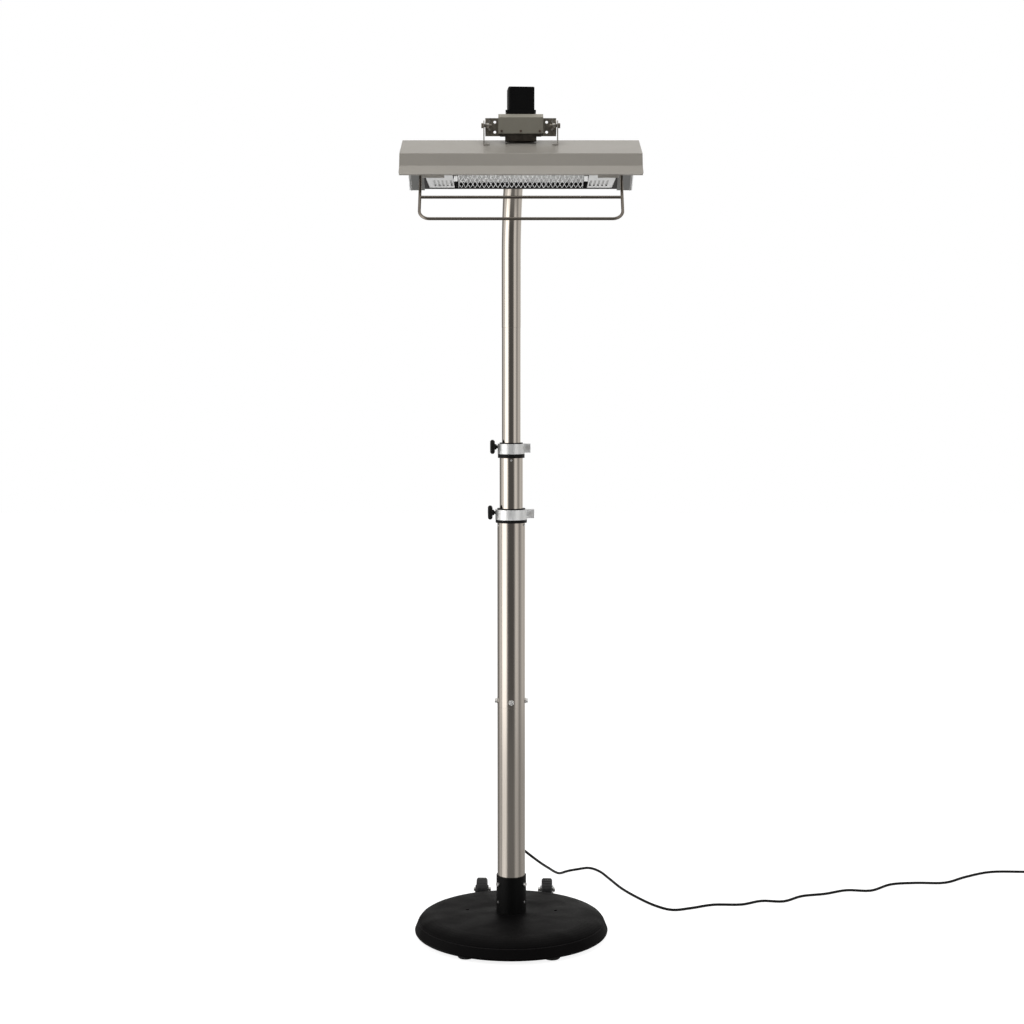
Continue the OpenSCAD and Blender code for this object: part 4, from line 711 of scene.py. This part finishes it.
# The crosses' near-black colour is painted shade of the recess.
dress(finish("recess_finish", (0.01, 0.009, 0.008), 0.6, contrast=0.2, blotch=90.0), recess_shades)
print("recess faces", len(recess_shades.data.polygons))

# %% Ribs of the strain relief
RIBS, RIB_R, RIB_STEPS = 4, 0.7, 24


def gland_ribs(name):
    """Rings round the strain relief, each a little larger than the cone where it sits."""
    reach = {}
    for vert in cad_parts["cord_gland"].data.vertices:
        y = round(vert.co.y, 4)
        reach[y] = max(reach.get(y, 0), math.hypot(vert.co.x, vert.co.z - CORD_Z * MM))
    rows = sorted(reach.items())
    (y0, r0), (y1, r1) = rows[-2], rows[-1]
    rings = []
    for k in range(RIBS):
        share = (k + 0.5) / RIBS
        y, r = y0 + (y1 - y0) * share, r0 + (r1 - r0) * share
        rings.append([Vector((r * math.cos(a), y, CORD_Z * MM + r * math.sin(a)))
                      for a in (math.tau * n / RIB_STEPS for n in range(RIB_STEPS + 1))])
    return curve_piece(name, rings, RIB_R * MM, sides=2)


ribs = gland_ribs("strain_relief_ribs")
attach(ribs, "base")
dress(bpy.data.materials["cord_rubber_finish"], ribs)
print("ribs placed", RIBS)

# %% Strap that holds the coil
STRAP_W, STRAP_T, STRAP_ROUND = 12.0, 1.1, 4.0
STRAP_IN, STRAP_OUT, STRAP_LOW, STRAP_HIGH = 33.0, 54.4, 1.0, 18.2
STRAP_CORNERS = [
    (STRAP_OUT - STRAP_ROUND, STRAP_LOW + STRAP_ROUND, -90),
    (STRAP_OUT - STRAP_ROUND, STRAP_HIGH - STRAP_ROUND, 0),
    (STRAP_IN + STRAP_ROUND, STRAP_HIGH - STRAP_ROUND, 90),
    (STRAP_IN + STRAP_ROUND, STRAP_LOW + STRAP_ROUND, 180),
]
STRAP_END = [
    (50.0, STRAP_HIGH + 1.3), (42.0, STRAP_HIGH + 1.4), (34.0, STRAP_HIGH + 1.0), (28.0, 16.0), (24.0, 11.0),
    (21.0, 6.0), (16.0, 2.2), (8.0, 0.9),
]


def ribbon(mesh, path, closed):
    """A flat band of even thickness along points in the y-z plane, in millimetres."""
    rows = []
    count = len(path)
    for i, (y, z) in enumerate(path):
        before = path[i - 1] if closed or i else path[i]
        after = path[(i + 1) % count] if closed or i < count - 1 else path[i]
        dy, dz = after[0] - before[0], after[1] - before[1]
        size = math.hypot(dy, dz)
        ny, nz = -dz / size * STRAP_T / 2, dy / size * STRAP_T / 2
        row = [Vector((COIL_X + across * STRAP_W / 2, COIL_Y + y + up * ny, z + up * nz)) * MM
               for across, up in ((-1, -1), (1, -1), (1, 1), (-1, 1))]
        rows.append([mesh.verts.new(place) for place in row])
    for a, b in zip(rows, rows[1:] + (rows[:1] if closed else [])):
        for k in range(4):
            mesh.faces.new((a[k], a[(k + 1) % 4], b[(k + 1) % 4], b[k]))
    if not closed:
        mesh.faces.new(rows[0])
        mesh.faces.new(rows[-1][::-1])


def strap_piece(name):
    mesh = bmesh.new()
    loop = []
    for y, z, turn in STRAP_CORNERS:
        for k in range(5):
            a = math.radians(turn + 22.5 * k)
            loop.append((y + STRAP_ROUND * math.cos(a), z + STRAP_ROUND * math.sin(a)))
    ribbon(mesh, loop, True)
    ribbon(mesh, STRAP_END, False)
    bmesh.ops.recalc_face_normals(mesh, faces=mesh.faces)
    return new_piece(name, mesh)


coil_strap = strap_piece("coil_strap")
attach(coil_strap, "base")
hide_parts("cord_tie")
dress(finish("tie_finish", (0.02, 0.02, 0.022), 0.9, contrast=0.3, blotch=300.0, pimples=2500.0,
             pimple_height=0.0004, Sheen_Weight=0.3), coil_strap)
print("coil strap faces", len(coil_strap.data.polygons))

# %% [markdown]
# ## Floor, backdrop and lamps
# The photograph is a cut-out on pure white. A white world seen directly by the camera gives that, and
# the floor adds its own white for the camera while a part of it still answers to the lamps, so the
# heater keeps a soft shadow. Polished steel shows its surroundings: a bright panel on the left, the
# dark room behind the camera, and a soft grey wall on the right, so the world is painted that way for
# mirror rays alone. The list gives the room's brightness by compass angle from straight ahead, towards
# the camera, with the viewer's left negative. One node group turns a direction into that brightness,
# for the world and for the floor.

# %% The room that polished steel mirrors
ROOM = [
    (-180, 0.9), (-150, 0.25), (-135, 0.12), (-112, 0.6), (-97, 0.95), (-87, 0.5), (-76, 1.95), (-42, 1.95),
    (-36, 0.8), (-28, 0.2), (-20, 0.1), (20, 0.1), (29, 0.35), (36, 0.85), (56, 0.75), (68, 0.32), (75, 0.3),
    (87, 0.5), (100, 0.66), (115, 0.66), (135, 0.5), (157, 1.0), (180, 0.9),
]
ROOM_PEAK = 2.0
MIRROR_TINT = (1.0, 0.985, 0.965, 1)


def build_room():
    """Level of the room in a direction, or at a place seen from the pole."""
    tree, given, out = new_group("room_level", [("Direction", "Vector", (0.0, 0.0, 0.0))], [("Level", "Float")])
    split = add(tree, "SeparateXYZ")
    tree.links.new(given.outputs["Direction"], split.inputs[0])
    forward = math_node(tree, "MULTIPLY", split.outputs["Y"], -1.0)
    angle = math_node(tree, "ARCTAN2", split.outputs["X"], forward)
    share = add(tree, "MapRange", From_Min=-math.pi, From_Max=math.pi)
    tree.links.new(angle, share.inputs["Value"])
    room = add(tree, "FloatCurve")
    curve = room.mapping.curves[0]
    curve.points[0].location = (0, ROOM[0][1] / ROOM_PEAK)
    curve.points[-1].location = (1, ROOM[-1][1] / ROOM_PEAK)
    for turn, level in ROOM[1:-1]:
        curve.points.new((turn + 180) / 360, level / ROOM_PEAK)
    for point in curve.points:
        point.handle_type = "VECTOR"
    room.mapping.update()
    tree.links.new(share.outputs[0], room.inputs["Value"])
    tree.links.new(math_node(tree, "MULTIPLY", room.outputs[0], ROOM_PEAK), out.inputs["Level"])
    return tree


EFFECTS["room_level"] = build_room()
print("room angles", len(ROOM))

# %% Floor
FLOOR_SIZE = 30.0
FLOOR_WHITE = 0.55
FLOOR_GLOW = 0.88
FLOOR_NEAR, FLOOR_FAR = 1.6, 4.5
NEAR_SHARE, NEAR_LEVEL = 0.45, 0.15


def make_floor():
    bpy.ops.mesh.primitive_plane_add(size=FLOOR_SIZE, location=(0, 0, 0))
    floor = bpy.context.object
    floor.name = "studio_floor"
    material = bpy.data.materials.new("studio_floor_finish")
    material.use_nodes = True
    tree = material.node_tree
    tree.nodes.clear()
    out = add(tree, "OutputMaterial")
    path = add(tree, "LightPath")
    matt = add(tree, "BsdfDiffuse", Color=(FLOOR_WHITE, FLOOR_WHITE, FLOOR_WHITE, 1))
    glow = add(tree, "Emission", Color=(1, 1, 1, 1))
    seen = math_node(tree, "MAXIMUM", path.outputs["Is Camera Ray"], path.outputs["Is Transmission Ray"])
    tree.links.new(math_node(tree, "MULTIPLY", seen, FLOOR_GLOW), glow.inputs["Strength"])
    both = add(tree, "AddShader")
    tree.links.new(matt.outputs[0], both.inputs[0])
    tree.links.new(glow.outputs[0], both.inputs[1])
    spot = add(tree, "NewGeometry")
    room = effect(tree, "room_level")
    tree.links.new(spot.outputs["Position"], room.inputs["Direction"])
    near = math_node(tree, "ADD", math_node(tree, "MULTIPLY", room.outputs["Level"], NEAR_SHARE), NEAR_LEVEL)
    reach = add(tree, "VectorMath", operation="LENGTH")
    tree.links.new(spot.outputs["Position"], reach.inputs[0])
    far = add(tree, "MapRange", interpolation_type="SMOOTHSTEP", From_Min=FLOOR_NEAR, From_Max=FLOOR_FAR)
    tree.links.new(reach.outputs["Value"], far.inputs["Value"])
    level = add(tree, "Mix", data_type="FLOAT")
    tree.links.new(far.outputs[0], level.inputs["Factor"])
    tree.links.new(near, level.inputs["A"])
    tree.links.new(room.outputs["Level"], level.inputs["B"])
    mirrored = add(tree, "Emission", Color=MIRROR_TINT)
    tree.links.new(level.outputs["Result"], mirrored.inputs["Strength"])
    pick = add(tree, "MixShader")
    tree.links.new(path.outputs["Is Glossy Ray"], pick.inputs[0])
    tree.links.new(both.outputs[0], pick.inputs[1])
    tree.links.new(mirrored.outputs[0], pick.inputs[2])
    tree.links.new(pick.outputs[0], out.inputs["Surface"])
    floor.data.materials.append(material)
    return floor


print("floor", make_floor().name)

# %% World
ROOM_TOP = 0.76
TOP_STARTS, TOP_FULL = 0.25, 0.8
AMBIENT = 0.36


def make_world():
    world = bpy.data.worlds.new("studio")
    bpy.context.scene.world = world
    world.use_nodes = True
    tree = world.node_tree
    tree.nodes.clear()
    out = add(tree, "OutputWorld")
    place = add(tree, "TexCoord")
    split = add(tree, "SeparateXYZ")
    tree.links.new(place.outputs["Generated"], split.inputs[0])
    room = effect(tree, "room_level")
    tree.links.new(place.outputs["Generated"], room.inputs["Direction"])
    up = add(tree, "MapRange", From_Min=TOP_STARTS, From_Max=TOP_FULL)
    tree.links.new(math_node(tree, "ABSOLUTE", split.outputs["Z"]), up.inputs["Value"])
    level = add(tree, "Mix", data_type="FLOAT")
    tree.links.new(up.outputs[0], level.inputs["Factor"])
    tree.links.new(room.outputs["Level"], level.inputs["A"])
    level.inputs["B"].default_value = ROOM_TOP
    path = add(tree, "LightPath")
    ambient = add(tree, "Background", Color=(1, 1, 1, 1), Strength=AMBIENT)
    mirror = add(tree, "Background", Color=MIRROR_TINT)
    white = add(tree, "Background", Color=(1, 1, 1, 1), Strength=1.0)
    tree.links.new(level.outputs["Result"], mirror.inputs["Strength"])
    first = add(tree, "MixShader")
    tree.links.new(path.outputs["Is Glossy Ray"], first.inputs[0])
    tree.links.new(ambient.outputs[0], first.inputs[1])
    tree.links.new(mirror.outputs[0], first.inputs[2])
    last = add(tree, "MixShader")
    seen = math_node(tree, "MAXIMUM", path.outputs["Is Camera Ray"], path.outputs["Is Transmission Ray"])
    tree.links.new(seen, last.inputs[0])
    tree.links.new(first.outputs[0], last.inputs[1])
    tree.links.new(white.outputs[0], last.inputs[2])
    tree.links.new(last.outputs[0], out.inputs["Surface"])
    return world


print("world", make_world().name)


# %% Lamps
def make_lamp(name, place, target, size, power):
    """A flat lamp that lights the heater but isn't mirrored by it, since the room is."""
    data = bpy.data.lights.new(name, "AREA")
    data.shape = "RECTANGLE"
    data.size, data.size_y = size
    data.energy = power
    lamp = bpy.data.objects.new(name, data)
    bpy.context.collection.objects.link(lamp)
    lamp.location = place
    lamp.rotation_euler = (Vector(target) - Vector(place)).to_track_quat("-Z", "Y").to_euler()
    lamp.visible_glossy = False
    return lamp


LAMPS = [
    make_lamp("key_left", (-2.6, -2.2, 3.4), (0, 0, 1.3), (1.6, 1.6), 26),
    make_lamp("top", (0.1, -0.5, 4.2), (0, -0.2, 1.2), (2.0, 2.0), 46),
    make_lamp("fill_right", (3.0, -2.4, 1.8), (0, 0, 1.1), (1.6, 2.2), 10),
    make_lamp("low_front", (0.0, -0.95, 0.6), (0, -0.35, 2.0), (0.9, 0.5), 12),
]
print("lamps", [lamp.name for lamp in LAMPS])

# %% Picture settings
bpy.context.scene.view_settings.view_transform = "Standard"
print("view transform", bpy.context.scene.view_settings.view_transform)

# %% Finish
print("done")
